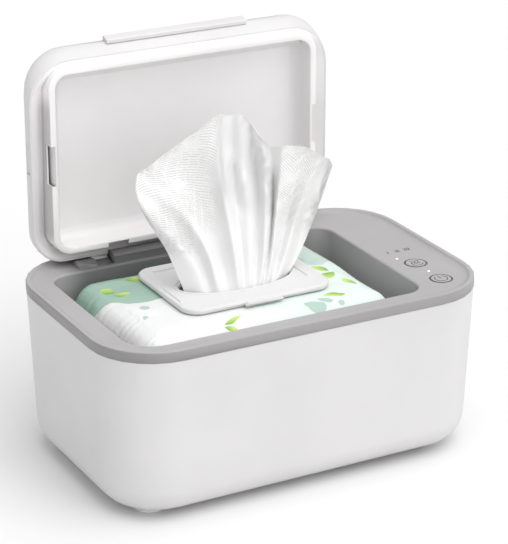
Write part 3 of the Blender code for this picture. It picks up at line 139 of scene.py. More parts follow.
# Smooth copies of CAD nodes: points closer than the gap are one, edges from the angle stay sharp, and the
# weight favours large faces in the normals
MERGE_GAP, SHARP_FROM, FLAT_WEIGHT = 2e-6, math.radians(32), 90

# The pulled-up wipe: for each fold line, from left to right, five points from the slot to the top edge, in
# mm: across, from front to back, and up, from the middle of the slot at the height of the rim
FOLD_LINES = np.array([
    [(-36.3, -2.8, -2.9), (-41.7, -1.1, 12.5), (-47.7, 0.4, 28.1), (-54.7, 0.0, 40.3), (-60.8, 0.0, 50.8)],
    [(-28.5, -10.8, -2.9), (-31.4, -7.9, 13.3), (-39, -5.5, 28.4), (-52.6, -3.8, 45.2), (-67, -3.2, 62)],
    [(-23.5, -11.8, -2.9), (-24.3, -5.0, 12.6), (-31.7, -1.4, 29.4), (-46.8, 0.0, 49.9), (-68.5, -1.5, 72.2)],
    [(-18.5, -14.5, -2.9), (-23.1, -11, 21.1), (-30.4, -6, 40.4), (-43.6, -1.2, 59.1), (-65.8, 1.2, 79.9)],
    [(-15.0, -14.4, -2.9), (-18.4, -7.9, 19.2), (-25.5, -2.6, 42.5), (-38.1, 1.8, 65.3), (-56.6, 3.8, 84.8)],
    [(-11.8, -13.7, -2.9), (-11.9, -3.6, 16.5), (-17.2, 2.3, 42.3), (-27.9, 5.2, 70.4), (-40.4, 4.4, 92.6)],
    [(-8.6, -15.1, -2.9), (-9.0, -6.8, 20.4), (-12.1, -1.0, 49.1), (-20.1, 0.2, 78.1), (-28.6, -1.0, 101.6)],
    [(-5, -16.5, -2.9), (-7.1, -12.6, 25.4), (-10.3, -8.3, 52.8), (-14, -6.2, 82.3), (-17.8, -6.2, 111.6)],
    [(-3.0, -15.7, -2.9), (-2.7, -9.7, 23.6), (-5.4, -5.6, 51.1), (-9.1, -3.5, 80.6), (-11.2, -4.6, 112.3)],
    [(-1.0, -14.9, -2.9), (2.1, -5.2, 21.1), (2.1, 1.2, 47.5), (1.6, 6.0, 74.3), (-0.8, 4.0, 108.8)],
    [(2.5, -16.4, -2.9), (5.4, -10.5, 19.0), (7.9, -3.8, 44.8), (7.2, 1.5, 71.5), (6.0, 3.0, 106.9)],
    [(5.8, -14.7, -2.9), (13.6, -5.1, 19.0), (17.2, 1.6, 44.8), (17.9, 5.5, 70.1), (15.0, 4.6, 99.3)],
    [(9.2, -16.2, -2.9), (15.2, -11.5, 20.9), (18.9, -6.8, 47.2), (19.0, -5.0, 70.0), (16.5, -5.4, 92.5)],
    [(12.0, -14.6, -2.9), (21.2, -6.4, 18.0), (26.9, -0.5, 38.7), (29.2, 3.2, 58.9), (27.7, 4.0, 82.8)],
    [(15.0, -15.3, -2.9), (21.3, -11.4, 18.0), (25.9, -7.6, 39.5), (30.1, -5.0, 60.5), (34.8, -4.6, 85.1)],
    [(18.6, -13.0, -2.9), (28.8, -5.1, 12.8), (37.6, -0.1, 35.0), (44.9, 3.4, 56.2), (51.4, 3.4, 78.6)],
    [(22.6, -13.0, -2.9), (31.1, -10.1, 14.1), (39.6, -7.1, 33.6), (49.9, -4.6, 54.6), (59.8, -3.8, 74.5)],
    [(27.0, -10.3, -2.9), (38.9, -4.7, 7.3), (49.1, -0.6, 27.2), (59.6, 1.5, 46.7), (67.9, 1.0, 69.6)],
    [(33.0, -6.6, -2.9), (44.3, -3.6, 9.4), (52.9, -2.3, 24.5), (60.9, -1.5, 41.2), (70.2, -1.5, 65.0)],
]) / 1000

# Ripples of the wipe: depth, pace across and up it in radians, and the power of the height that they grow
# by. The ripple of its top edge has a start in place of the pace up
RIPPLES = ((0.00025, 95, 3, 1), (0.0006, 31, 9, 2))
EDGE_RIPPLE = (0.0006, 46, 0.7, 6)

# The pack's print, from the pack's middle. Leaves: place of the stem's end, length, and turn in degrees
LEAVES = (
    (-0.0760, 0.0215, 0.0150, 62), (-0.0735, 0.0195, 0.0130, 8), (-0.0560, 0.0420, 0.0170, -24),
    (-0.0545, 0.0440, 0.0125, 48), (0.0600, 0.0365, 0.0165, 150), (0.0610, 0.0340, 0.0140, -160),
    (0.0680, -0.0060, 0.0150, 118), (0.0700, -0.0085, 0.0180, -150), (0.0715, -0.0330, 0.0125, 105),
    (0.0560, -0.0440, 0.0140, 170), (-0.0240, -0.0500, 0.0120, 28), (-0.0250, -0.0515, 0.0095, -30),
)
# Drops: place of the middle, and radius
DROPS = (
    (-0.0640, -0.0060, 0.0032), (-0.0700, -0.0190, 0.0021), (0.0270, -0.0505, 0.0062),
    (0.0370, -0.0470, 0.0034), (0.0440, -0.0525, 0.0022), (0.0600, 0.0190, 0.0036), (0.0520, 0.0240, 0.0020),
)
# Wave along the back: its edge's middle, swing, pace in radians a metre and start
WAVE_MIDDLE, WAVE_SWING, WAVE_PACE, WAVE_START = 0.010, 0.0075, 44, 0.6
WAVE_BLUR, DROP_BLUR, DROP_COVER = 0.0004, 0.0003, 0.8
PALE_FROM, PALE_FULL = -0.032, 0.012  # where the ground starts to turn pale mint, and is so
LEAF_WIDTH, LEAF_BLUR = 0.27, 0.045  # half of a leaf's width and its edge, as shares of its length
STACK_PLAIN, STACK_DARK = 0.024, 0.031  # how far from its middle the folded stack is plain, and is dark with painted shade at the hole's ends
HOLE_EDGE = (1.06, 1.10)  # where the film starts and is whole, as shares of the slot's half sizes

# Embossing of the cloth: way across the slanting ribs, length of a dash in rib pitches, span of its sine
# over which it comes in, and the part of the cloth's height over which the ribs do
RIB_ACROSS, RIB_UP = 0.62, 0.78
DASH_LENGTH, DASH_EDGE = 4.3, (-1.35, -0.55)
RIBS_FROM, RIBS_FULL = 0.037, 0.068

# The pack's form: round at its foot, draft, smallest corner, and steps of the grid: round it, and over its
# bottom, foot, wall, shoulder and top
FOOT_ROUND, PACK_DRAFT, LEAST_CORNER = 0.006, math.radians(1.2), 0.003
ROUND_STEPS = 620
BOTTOM_STEPS, FOOT_STEPS, WALL_STEPS, SHOULDER_STEPS, TOP_STEPS = 14, 8, 24, 30, 46

# Its end folds. Each end: the way it faces, the span of the cosine to that way over which the folds come
# in, and how deep they are. Then the spans of height and inset over which they come in and fade, sines
# that bend, warp and vary them (depth, pace in radians a metre, start), and how sharp they are
FOLDED_ENDS = ((math.radians(188), (0.50, 0.88), 1.0), (math.radians(-4), (0.72, 0.98), 0.75))
FOLD_RISE, FOLD_FADE = (0.05, 0.35), (0.0105, 0.0185)
FOLD_BEND, FOLD_LEAN = (0.0016, 40), 5.0
FOLD_WARPS = ((0.0022, 97.0, 0.0), (0.0013, 211.0, 0.8))
FOLD_VARIES = (0.40, 143.0, 1.3)
FOLD_SHARPNESS = 0.62

# The long waves of its sides: pace in radians a metre, lean up the side, and the same two spans
SIDE_PACE, SIDE_LEAN = 98, 1.7
SIDE_RISE, SIDE_FADE = (0.1, 0.6), (0.012, 0.020)

# Its top: the span of inset over which it is reached, the flat patch under the plate (middle from the
# pack's middle, half size, soft edge), how deep it sinks, sags and creases, and the fan of creases
TOP_REACHED = (0.006, 0.016)
PLATE_SEAT, PLATE_SEAT_HALF, PLATE_SEAT_EDGE = (0.0035, 0.0026), (0.052, 0.040), 0.010
TOP_SINK, SEAT_STEP, SAG_DEPTH, CREASE_DEPTH, CREASE_SHARE = 0.0004, 0.0005, 0.0007, 0.0005, 0.6
CREASES, CREASE_START, CREASE_MIDDLE = 9, 0.9, 0.01

# The dispenser's ridges, as ends from the slot's middle, and its catch lip at the front edge
RIDGES = (
    ((-0.0405, 0.0335), (-0.0262, 0.0335)), ((-0.0135, 0.0355), (0.0300, 0.0355)),
    ((0.0430, 0.0060), (0.0430, -0.0180)), ((-0.0475, 0.0050), (-0.0475, -0.0190)),
)
CATCH_HALF, CATCH_INSET, CATCH_WIDTH, CATCH_DROP, CATCH_RISE = 0.0115, 0.0016, 0.0022, 0.0009, 0.0014

# Signs of the deck, in metres and degrees: steam over a bowl, the power sign, and the level waves
STEAM_GAP, STEAM_UP, STEAM_HEIGHT, STEAM_SWING, STEAM_WAVES = 0.0023, 0.0010, 0.0054, 0.0007, 1.25
BOWL_UP, BOWL_RADIUS, BOWL_START, BOWL_TURN = 0.0012, 0.0055, 218.0, 104.0
POWER_RADIUS, POWER_START, POWER_TURN = 0.0042, 124.0, 292.0
BAR_LOW, BAR_HIGH = 0.0002, 0.0052
LEVEL_GAP, LEVEL_HEIGHT, LEVEL_SWING = 0.0016, 0.0038, 0.0005
LAMP_CORE, LAMP_REACH = 0.0002, 0.0013  # where a lit window's light starts to fall off, and ends
FILM_HALF = 0.0001  # half the length of the straight part of the paint over an unlit window

# How much smoother the plate, the liner and the buttons are than the shell and the tray
PLATE_SHINE, LINER_SHINE, BUTTON_SHINE = 0.04, 0.06, 0.04

# Ways that the studio's two lights come from, and how broad each is
KEY_FROM, FRONT_FROM = (0.14, -0.24, 0.75), (0.15, -1.0, 0.25)
LIGHT_SPREAD = math.radians(60)


def linear(red, green, blue):
    """Linear colour of an sRGB colour given in steps of 1/255: the curve's straight foot, then its power."""
    share = np.array([red, green, blue]) / 255
    curve = np.where(share <= 0.04045, share / 12.92, ((share + 0.055) / 1.055) ** 2.4)
    return tuple(round(float(value), 4) for value in curve)


def colour_setting(name, description, default):
    """A colour property in linear light."""
    return FloatVectorProperty(
        name=name, description=description, subtype="COLOR", size=3, min=0.0, max=1.0, default=default)


def size_setting(name, description, default, low, high):
    """A length property in metres."""
    return FloatProperty(
        name=name, description=description, subtype="DISTANCE", unit="LENGTH", default=default,
        min=low, max=high, precision=5)


def share_setting(name, description, default, high=1.0):
    """A plain number property from 0."""
    return FloatProperty(name=name, description=description, default=default, min=0.0, max=high)


class HousingLook(bpy.types.PropertyGroup):
    """Colours and grain of the moulded parts."""

    shell_colour: colour_setting("Shell", "White of the tub and the lid", (0.665, 0.655, 0.658))
    liner_colour: colour_setting("Liner", "White of the lid's liner", (0.86, 0.84, 0.844))
    tray_colour: colour_setting("Tray", "Grey of the tray and the buttons", (0.415, 0.405, 0.409))
    plate_colour: colour_setting("Plate", "White of the dispenser plate", (0.715, 0.708, 0.712))
    # Painted shade: dark grey that stands in for shade on the hinge hump, the lid's arms and the tray rim's
    # outer side
    painted_shade_colour: colour_setting("Hinge", "Dark grey about the hinge", (0.105, 0.103, 0.104))
    gloss: share_setting("Shell roughness", "Roughness of the white shell", 0.42)
    tray_gloss: share_setting("Tray roughness", "Roughness of the grey tray", 0.38)
    grain_size: size_setting("Grain size", "Size of the mould's fine grain", 0.0007, 0.0001, 0.01)
    grain_depth: size_setting("Grain depth", "Depth of the mould's fine grain", 0.00002, 0.0, 0.001)
    foot_spread: size_setting("Foot spread", "Spread of a foot's sole under the tub", 0.0042, 0.0, 0.006)
    seam_cover: size_setting("Seam cover", "Reach of the liner over the lid's edge", 0.0014, 0.0, 0.003)


class PackLook(bpy.types.PropertyGroup):
    """Form and print of the refill pack."""

    film_colour: colour_setting("Film", "White ground of the film", (0.80, 0.805, 0.805))
    mint_colour: colour_setting("Mint", "Mint wave along the back", (0.345, 0.51, 0.425))
    pale_colour: colour_setting("Pale mint", "Pale mint of the right half", (0.72, 0.81, 0.77))
    leaf_dark: colour_setting("Leaf", "Stem end of the leaves", linear(112, 164, 52))
    leaf_light: colour_setting("Leaf tip", "Tip of the leaves", linear(196, 222, 120))
    corner: size_setting("Corner", "Corner radius seen from above", 0.016, 0.008, 0.03)
    shoulder: size_setting("Shoulder", "How far the rounded shoulder reaches in", 0.020, 0.014, 0.03)
    shoulder_drop: size_setting("Shoulder drop", "Height of the rounded shoulder", 0.0233, 0.01, 0.04)
    fold_pitch: size_setting("Fold pitch", "Distance between the folds of the ends", 0.0078, 0.003, 0.02)
    fold_depth: size_setting("Fold depth", "Depth of the folds of the ends", 0.0012, 0.0, 0.005)
    wave_depth: size_setting("Wave depth", "Depth of the long waves of the sides", 0.0007, 0.0, 0.003)


class WipeLook(bpy.types.PropertyGroup):
    """Form and cloth of the pulled-up wipe."""

    cloth_colour: colour_setting("Cloth", "White of the wipe", (0.90, 0.895, 0.895))
    fold_share: share_setting("Fold depth", "Share of the fold lines' own depth", 0.95, 2.0)
    thickness: size_setting("Thickness", "Thickness of the cloth", 0.0004, 0.0001, 0.002)
    rib_pitch: size_setting("Rib pitch", "Distance between the embossed ribs", 0.0016, 0.0005, 0.01)
    rib_depth: size_setting("Rib depth", "Depth of the embossed ribs", 0.00046, 0.0, 0.001)


class DispenserLook(bpy.types.PropertyGroup):
    """Raised details of the dispenser plate."""

    rim_radius: size_setting("Rim", "Radius of the bead round the slot", 0.0008, 0.0002, 0.003)
    rim_gap: size_setting("Rim gap", "Bead's middle outside the slot's edge", 0.0020, 0.0005, 0.005)
    ridge_width: size_setting("Ridge width", "Width of the short ridges", 0.0017, 0.0003, 0.004)
    ridge_height: size_setting("Ridge height", "Height of the short ridges", 0.0009, 0.0001, 0.002)


class DeckLook(bpy.types.PropertyGroup):
    """Signs and lights of the control deck."""

    ink_colour: colour_setting("Ink", "Colour of the printed signs", (0.060, 0.060, 0.062))
    glow_colour: colour_setting("Glow", "Colour of a lit window", (0.94, 0.97, 1.0))
    glow: share_setting("Glow strength", "Light that a lit window gives", 1.6, 50.0)
    ring_radius: size_setting("Ring radius", "Radius of the printed ring of a button", 0.0068, 0.003, 0.01)
    ring_width: size_setting("Ring width", "Line width of that ring", 0.0007, 0.0001, 0.002)
    line_width: size_setting("Line width", "Line width of the signs", 0.00062, 0.0001, 0.002)
    ink_height: size_setting("Ink height", "Thickness of the printed ink", 0.00004, 0.00001, 0.0005)
    film_width: size_setting("Window film", "Width of the paint over an unlit window", 0.0034, 0.001, 0.01)
    sign_gap: size_setting("Sign gap", "Level signs behind their windows", 0.0115, 0.003, 0.02)


class StudioLook(bpy.types.PropertyGroup):
    """Floor, lights and camera."""

    floor_colour: colour_setting("Floor", "Colour of the floor", (0.81, 0.81, 0.81))
    floor_size: FloatProperty(
        name="Floor size", description="Side of the floor", subtype="DISTANCE", unit="LENGTH", default=9.0,
        min=1.0, max=40.0)
    sky: share_setting("Sky", "Strength of the even light from all round", 0.68, 5.0)
    key_light: share_setting("Key", "Strength of the broad light from above and in front", 1.75, 20.0)
    front_light: share_setting("Front", "Strength of the low light from the front", 0.85, 20.0)
    lens: FloatProperty(
        name="Lens", description="Focal length of the camera", unit="CAMERA", default=149.9, min=10, max=500)
    camera_turn: FloatVectorProperty(
        name="Camera turn", description="Turn of the camera", subtype="EULER", unit="ROTATION", size=3,
        default=(math.radians(68.16), 0.0, math.radians(-28.34)))
    camera_place: FloatVectorProperty(
        name="Camera place", description="Place of the camera", subtype="XYZ", unit="LENGTH", size=3,
        default=(-0.63348, -1.18344, 0.65448))


class Wire:
    """A shader socket that takes Python arithmetic: each operation adds its Math node."""

    def __init__(self, tree, socket=None):
        self.tree = tree
        self.socket = socket

    def node(self, kind, settings=None, links=None, output=0):
        """Add a node of this kind: its settings first, then values or links of its sockets."""
        made = self.tree.nodes.new("ShaderNode" + kind)
        for name, value in (settings or {}).items():
            setattr(made, name, value)
        for name, value in (links or {}).items():
            entry = made.inputs[name]
            if isinstance(value, Wire):
                self.tree.links.new(value.socket, entry)
            else:
                entry.default_value = value
        return Wire(self.tree, made.outputs[output])

    def math(self, operation, *values):
        """The Math node of this operation on values or wires."""
        return self.node("Math", {"operation": operation}, dict(enumerate(values)))

    def __add__(self, other):
        return self.math("ADD", self, other)

    def __sub__(self, other):
        return self.math("SUBTRACT", self, other)

    def __rsub__(self, other):
        return self.math("SUBTRACT", other, self)

    def __mul__(self, other):
        return self.math("MULTIPLY", self, other)

    def __truediv__(self, other):
        return self.math("DIVIDE", self, other)

    def __pow__(self, other):
        return self.math("POWER", self, other)

    def __abs__(self):
        return self.math("ABSOLUTE", self)

    def sine(self):
        """Sine of the value in radians."""
        return self.math("SINE", self)

    def at_least(self, floor):
        """The value or the floor, whichever is more."""
        return self.math("MAXIMUM", self, floor)

    __radd__ = __add__
    __rmul__ = __mul__


def smooth(value, low, high):
    """0 below low and 1 above high, with a soft step between."""
    ends = {0: value, 1: low, 2: high, 3: 0.0, 4: 1.0}
    return value.node("MapRange", {"interpolation_type": "SMOOTHSTEP"}, ends)


def band(value, rise, fall):
    """A soft step up from the first to the second end of rise, and down again over fall."""
    return smooth(value, *rise) * (1 - smooth(value, *fall))


def distance(x, y):
    """Length of the flat way (x, y): the root of the sum of squares."""
    return (x ** 2.0 + y ** 2.0) ** 0.5


def shade(colour, share):
    """A colour times a share."""
    return tuple(value * share for value in colour)


def shown(colour):
    """A wire as it is, and a colour with its alpha."""
    return colour if isinstance(colour, Wire) else (*colour, 1.0)


def tint(low, high, mask):
    """Colour low where the mask is 0 and high where it is 1."""
    return mask.node("Mix", {"data_type": "RGBA"}, {0: mask, 6: shown(low), 7: shown(high)}, 2)


def noise(place, scale, detail=2.0, rough=0.5):
    """Soft noise about 0.5, of that many features a metre."""
    return place.node("TexNoise", {}, {"Vector": place, "Scale": scale, "Detail": detail, "Roughness": rough})


def stretched(place, x, y, z):
    """The place with each axis times its share, for grain that runs one way."""
    return place.node("VectorMath", {"operation": "MULTIPLY"}, {0: place, 1: (x, y, z)})


def split(place):
    """The three numbers of a place."""
    parts = place.node("SeparateXYZ", {}, {0: place})
    outputs = parts.socket.node.outputs
    return [Wire(place.tree, outputs[axis]) for axis in range(3)]


def bump(height, distance, strength=1.0):
    """Normal of a height from 0 to 1, whose full step is that distance."""
    return height.node("Bump", {}, {"Height": height, "Distance": distance, "Strength": strength})


def new_finish(name):
    """A new Principled material: the material, its shader and the wire of the object's place."""
    made = bpy.data.materials.new(name)
    made.use_nodes = True
    tree = made.node_tree
    place = Wire(tree).node("TexCoord", {}, {}, "Object")
    return made, tree.nodes["Principled BSDF"], place


def feed(shader, sockets):
    """Give the shader's sockets their values or wires."""
    for name, value in sockets.items():
        if isinstance(value, Wire):
            value.tree.links.new(value.socket, shader.inputs[name])
        elif isinstance(value, tuple):
            shader.inputs[name].default_value = shown(value)
        else:
            shader.inputs[name].default_value = value


def moulded(name, colour, roughness, grain_size, grain_depth, drift=0.05, accent=None, mask=None):
    """Moulded plastic: fine eroded grain, faint flow clouds in colour and gloss, and an accent colour where
    the mask, a function of the place, is 1."""
    made, shader, place = new_finish(name)
    clouds = noise(place, 14.0, 3.0)
    grain = noise(place, 1 / grain_size, 3.0, 0.6)
    paint = tint(shade(colour, 1 - drift), colour, smooth(clouds, 0.3, 0.7))
    if mask:
        paint = tint(paint, accent, mask(place))
    feed(shader, {
        "Base Color": paint,
        "Roughness": roughness - 0.03 + noise(place, 60.0) * 0.06,
        "Normal": bump(grain, grain_depth),
        "Specular IOR Level": 0.35,
    })
    return made


def tray_painted_shade(place):
    """Mask of painted shade on the tray. The hinge hump: behind the well, over its length, soft at the ends,
    and weaker on the back wall of the well. The rim's outer side: where the distance to the rim's outline, a
    rectangle with round corners, is nothing; stronger along the left end."""
    x, y = split(place)[:2]
    across, deep = abs(x) - RIM_STRAIGHT[0], abs(y - RIM_MIDDLE) - RIM_STRAIGHT[1]
    inside = distance(across.at_least(0.0), deep.at_least(0.0)) - RIM_CORNER
    side = RIM_LEFT_SHADE - smooth(x, *RIM_LEFT_END) * (RIM_LEFT_SHADE - RIM_SHADE)
    ends = [(end - HUMP_FADE, end + HUMP_FADE) for end in (HUMP_LEFT, HUMP_RIGHT)]
    wall = smooth(y, HUMP_FRONT - WALL_FADE, HUMP_FRONT + WALL_FADE)
    hump = smooth(y, *HUMP_TOP) * (HUMP_SHADE - WALL_SHADE) + WALL_SHADE
    return band(x, *ends) * wall * hump + smooth(inside, *RIM_SKIN) * side


def arm_painted_shade(place):
    """Mask of painted shade on the lid's hinge arms, the part of the shell in front of its edge."""
    return 1 - smooth(split(place)[1], *ARM_FADE)


def groove_painted_shade(place):
    """Mask of painted shade in the groove along the left side of the lid's lip: rises towards the lip's foot,
    and fades over the rounded corners."""
    x, z = split(place)[::2]
    outside = band(x, (GROOVE_LEFT, LIP_LEFT), (LIP_LEFT, LIP_LEFT + 0.0004))
    upright = band(z, (GROOVE_LOW - 0.010, GROOVE_LOW), (GROOVE_HIGH, GROOVE_HIGH + 0.014))
    return outside * upright * GROOVE_COVER


def soft_rubber():
    """Milky soft rubber of the feet, darker and rougher in patches towards the bottom."""
    made, shader, place = new_finish("foot_rubber")
    # darker and rougher in noisy patches over the lowest 1.2 mm of the feet
    low_patches = (1 - smooth(split(place)[2], 0.0, 0.0012)) * noise(place, 900.0)
    feed(shader, {
        "Base Color": tint((0.86, 0.865, 0.865), (0.50, 0.50, 0.50), low_patches),
        "Roughness": 0.45 + low_patches * 0.35,
        "Normal": bump(noise(place, 1500.0), 0.00003),
    })
    return made


def bare_metal(name, colour, roughness, grain):
    """Metal with fine lines along the axis whose share in grain is small."""
    made, shader, place = new_finish(name)
    lines = noise(stretched(place, *grain), 1.0, 3.0, 0.65)
    feed(shader, {
        "Base Color": tint(shade(colour, 0.78), colour, lines),
        "Metallic": 1.0,
        "Roughness": roughness - 0.08 + lines * 0.16,
        "Normal": bump(lines, 0.00001),
    })
    return made


def heater_film():
    """Amber film with etched tracks: stripes along X that a wave in X bends a little."""
    made, shader, place = new_finish("heater_film")
    x, y = split(place)[:2]
    track = smooth((y * 1050 + (x * 90).sine() * 0.4).sine(), -0.15, 0.15)
    feed(shader, {
        "Base Color": tint((0.50, 0.20, 0.03), (0.62, 0.36, 0.16), track),
        "Metallic": track * 0.8,
        "Roughness": 0.22 + noise(place, 300.0) * 0.2,
        "Normal": bump(track, 0.00004),
    })
    return made


def felt_pad():
    """Pressed fibre: two stretched noises cross as strands."""
    made, shader, place = new_finish("insulation_felt")
    ways = ((1.0, 6.0, 3.0), (6.0, 1.0, 3.0))
    along, across = (noise(stretched(place, *way), 420.0, 4.0) for way in ways)
    strands = along + across
    feed(shader, {
        "Base Color": tint((0.50, 0.49, 0.46), (0.78, 0.77, 0.73), smooth(strands, 0.8, 1.2)),
        "Roughness": 0.96,
        "Normal": bump(strands, 0.0004),
    })
    return made


def circuit_board():
    """Green lacquer over copper tracks that run along Y and step across where slow noise passes a level."""
    made, shader, place = new_finish("board_lacquer")
    lanes = split(place)[0] * 2400 + noise(stretched(place, 0.2, 1.0, 1.0), 120.0, 0.0) * 6
    track = smooth(lanes.sine(), 0.35, 0.55) * smooth(noise(place, 150.0), 0.44, 0.5)
    feed(shader, {
        "Base Color": tint((0.012, 0.12, 0.045), (0.05, 0.28, 0.10), track),
        "Roughness": 0.30 + noise(place, 500.0) * 0.12,
        "Normal": bump(track, 0.00004),
    })
    return made


def lead_sleeve():
    """Black sleeve of the internal leads, a little dusty."""
    made, shader, place = new_finish("lead_sleeve")
    dust = noise(place, 260.0, 4.0)
    feed(shader, {
        "Base Color": tint((0.025, 0.025, 0.026), (0.07, 0.07, 0.07), dust),
        "Roughness": 0.42 + dust * 0.2,
        "Normal": bump(noise(place, 1800.0), 0.00002),
    })
    return made


def light_window(name, colour, plain, glow, spot):
    """Light window in the deck's colour: its light falls off softly round the lamp under it."""
    made, shader, place = new_finish(name)
    x, y = split(place)[:2]
    reach = distance(x - spot[0], y - spot[1])
    light = (1 - smooth(reach, LAMP_CORE, LAMP_REACH)) * (0.9 + noise(place, 3500.0) * 0.2)
    feed(shader, {
        "Base Color": tint(plain, colour, light),
        "Roughness": 0.30 + noise(place, 900.0) * 0.1,
        "Emission Color": tint((0.0, 0.0, 0.0), colour, light),
        "Emission Strength": glow,
    })
    return made


def printed_ink(colour):
    """Pad-printed ink: slightly uneven cover."""
    made, shader, place = new_finish("deck_ink")
    cover = noise(place, 5000.0, 3.0)
    feed(shader, {
        "Base Color": tint(shade(colour, 1.5), colour, smooth(cover, 0.25, 0.5)),
        "Roughness": 0.5 + cover * 0.15,
    })
    return made


def leaf_mask(x, y, leaf):
    """Inside of one leaf, and the place along and across it in shares of its length. Its half width is a
    sine arch between the stem's end and the tip."""
    stem_x, stem_y, length, turn = leaf
    c, s = math.cos(math.radians(turn)), math.sin(math.radians(turn))
    along = ((x - stem_x) * c + (y - stem_y) * s) / length
    across = ((y - stem_y) * c - (x - stem_x) * s) / length
    arch = (along * math.pi).sine() * LEAF_WIDTH
    half = arch.at_least(0.0) * band(along, (-0.01, 0.02), (0.98, 1.01))
    return smooth(half - abs(across), 0.0, LEAF_BLUR), along, across


def print_paint(look, x, y, wash):
    """Colour of the print: white that turns pale mint to the right, a mint wave at the back whose edge is
    a sine, round drops, and leaves that lighten towards the tip and the midrib."""
    right = smooth(x + y * 0.35 + wash * 0.02, PALE_FROM, PALE_FULL)
    ground = tint(look.film_colour, look.pale_colour, right)
    mint = tint(look.mint_colour, look.pale_colour, smooth(x, 0.0, 0.12) * 0.75)
    behind = y - WAVE_MIDDLE - (x * WAVE_PACE + WAVE_START).sine() * WAVE_SWING
    paint = tint(ground, mint, smooth(behind, -WAVE_BLUR, WAVE_BLUR))
    for drop_x, drop_y, radius in DROPS:
        reach = distance(x - drop_x, y - drop_y)
        outside = smooth(reach, radius - DROP_BLUR, radius + DROP_BLUR)
        paint = tint(paint, look.mint_colour, (1 - outside) * DROP_COVER)
    for leaf in LEAVES:
        inside, along, across = leaf_mask(x, y, leaf)
        rib = (1 - smooth(abs(across), 0.004, 0.018)) * 0.5
        lighter = smooth(along + across * 1.2 + wash * 0.4, 0.05, 1.15)
        paint = tint(paint, tint(look.leaf_dark, look.leaf_light, lighter.at_least(rib)), inside)
    return paint


def printed_film(look):
    """Glossy printed film with fine crinkles of two sizes. In the dispensing hole the folded stack shows,
    with painted shade at its ends."""
    made, shader, place = new_finish("printed_film")
    print_place = place.node("UVMap", {"uv_map": "print"})
    x, y = split(print_place)[:2]
    middle = SLOT - PACK_MIDDLE
    reach = distance((x - middle[0]) / SLOT_HALF[0], (y - middle[1]) / SLOT_HALF[1])
    stripes = noise(stretched(print_place, 30.0, 400.0, 1.0), 1.0)
    stack = tint((0.45, 0.45, 0.45), (0.80, 0.80, 0.80), stripes)
    # Painted shade: the stack turns dark towards the hole's ends
    stack = tint(stack, (0.09, 0.09, 0.09), smooth(abs(x - middle[0]), STACK_PLAIN, STACK_DARK))
    crinkle = noise(print_place, 160.0, 4.0, 0.62)
    fine = noise(stretched(print_place, 1.0, 2.2, 1.0), 700.0, 2.0)
    paint = print_paint(look, x, y, noise(print_place, 55.0, 3.0))
    feed(shader, {
        "Base Color": tint(paint, stack, 1 - smooth(reach, *HOLE_EDGE)),
        "Roughness": 0.30 + crinkle * 0.16,
        "Normal": bump(crinkle + fine * 0.15, 0.0006),
        "Specular IOR Level": 0.5,
    })
    return made


def embossed_cloth(look):
    """Damp non-woven cloth: slanting embossed ribs broken into short dashes, each a sine of the place along
    its own slant, with soft fibre between. The ribs fade out down the cloth, where it is pulled flat."""
    made, shader, place = new_finish("embossed_cloth")
    weave = place.node("UVMap", {"uv_map": "cloth"})
    u, v = split(weave)[:2]
    wander = noise(weave, 90.0, 1.0) * 2.5
    pace = 2 * math.pi / look.rib_pitch
    slant = (u * RIB_ACROSS + v * RIB_UP) * pace + wander
    cross = (v * RIB_ACROSS - u * RIB_UP) * (pace / DASH_LENGTH) + wander * 2
    dash = smooth(cross.sine(), *DASH_EDGE)
    fibre = noise(stretched(weave, 1.0, 2.5, 1.0), 2600.0, 4.0, 0.6)
    relief = (slant.sine() * 0.5 + 0.5) * dash * smooth(noise(weave, 60.0, 3.0), 0.28, 0.50)
    relief = relief * smooth(v, RIBS_FROM, RIBS_FULL)
    feed(shader, {
        # The colour is darker in the valleys between the ribs, a painted shade, and varies with the fibre's
        # own tone
        "Base Color": tint(shade(look.cloth_colour, 0.955), look.cloth_colour, relief * 0.6 + fibre * 0.5),
        "Roughness": 0.88 + fibre * 0.1,
        "Normal": bump(relief + fibre * 0.35, look.rib_depth),
        "Sheen Weight": 0.1,
    })
    return made


def dress(finish, *names):
    """Give CAD nodes a finish."""
    for name in names:
        for spot in frame["nodes"][name].material_slots:
            spot.material = finish


def put(name, data):
    """A new object in the scene, at the origin."""
    made = bpy.data.objects.new(name, data)
    bpy.context.scene.collection.objects.link(made)
    return made


def skin(finish, name):
    """Smooth-shaded copy of a CAD node, which stands for it: loose triangles merged, edges over the limit
    kept sharp, and normals weighted by area so that flat walls stay flat beside their rounds."""
    node = frame["nodes"][name]
    build = bmesh.new()
    build.from_mesh(node.data)
    bmesh.ops.remove_doubles(build, verts=build.verts, dist=MERGE_GAP)
    mesh = bpy.data.meshes.new(name + "_skin")
    build.to_mesh(mesh)
    build.free()
    mesh.shade_smooth()
    mesh.set_sharp_from_angle(angle=SHARP_FROM)
    mesh.materials.clear()
    mesh.materials.append(finish)
    piece = put(name + "_skin", mesh)
    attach(piece, node["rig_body"])
    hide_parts(name)
    even = piece.modifiers.new("even", "WEIGHTED_NORMAL")
    even.keep_sharp = True
    even.weight = FLAT_WEIGHT
    return piece


def grid_faces(rows, columns, joined_rows=False, joined_columns=False):
    """Quads of a grid of points that is counted row by row, as indices of their four corners."""
    row = np.arange(rows if joined_rows else rows - 1)[:, None]
    column = np.arange(columns if joined_columns else columns - 1)[None, :]
    next_row = (row + 1) % rows * columns
    next_column = (column + 1) % columns
    corners = (row * columns + column, row * columns + next_column, next_row + next_column, next_row + column)
    return np.stack(np.broadcast_arrays(*corners), axis=-1).reshape(-1, 4)


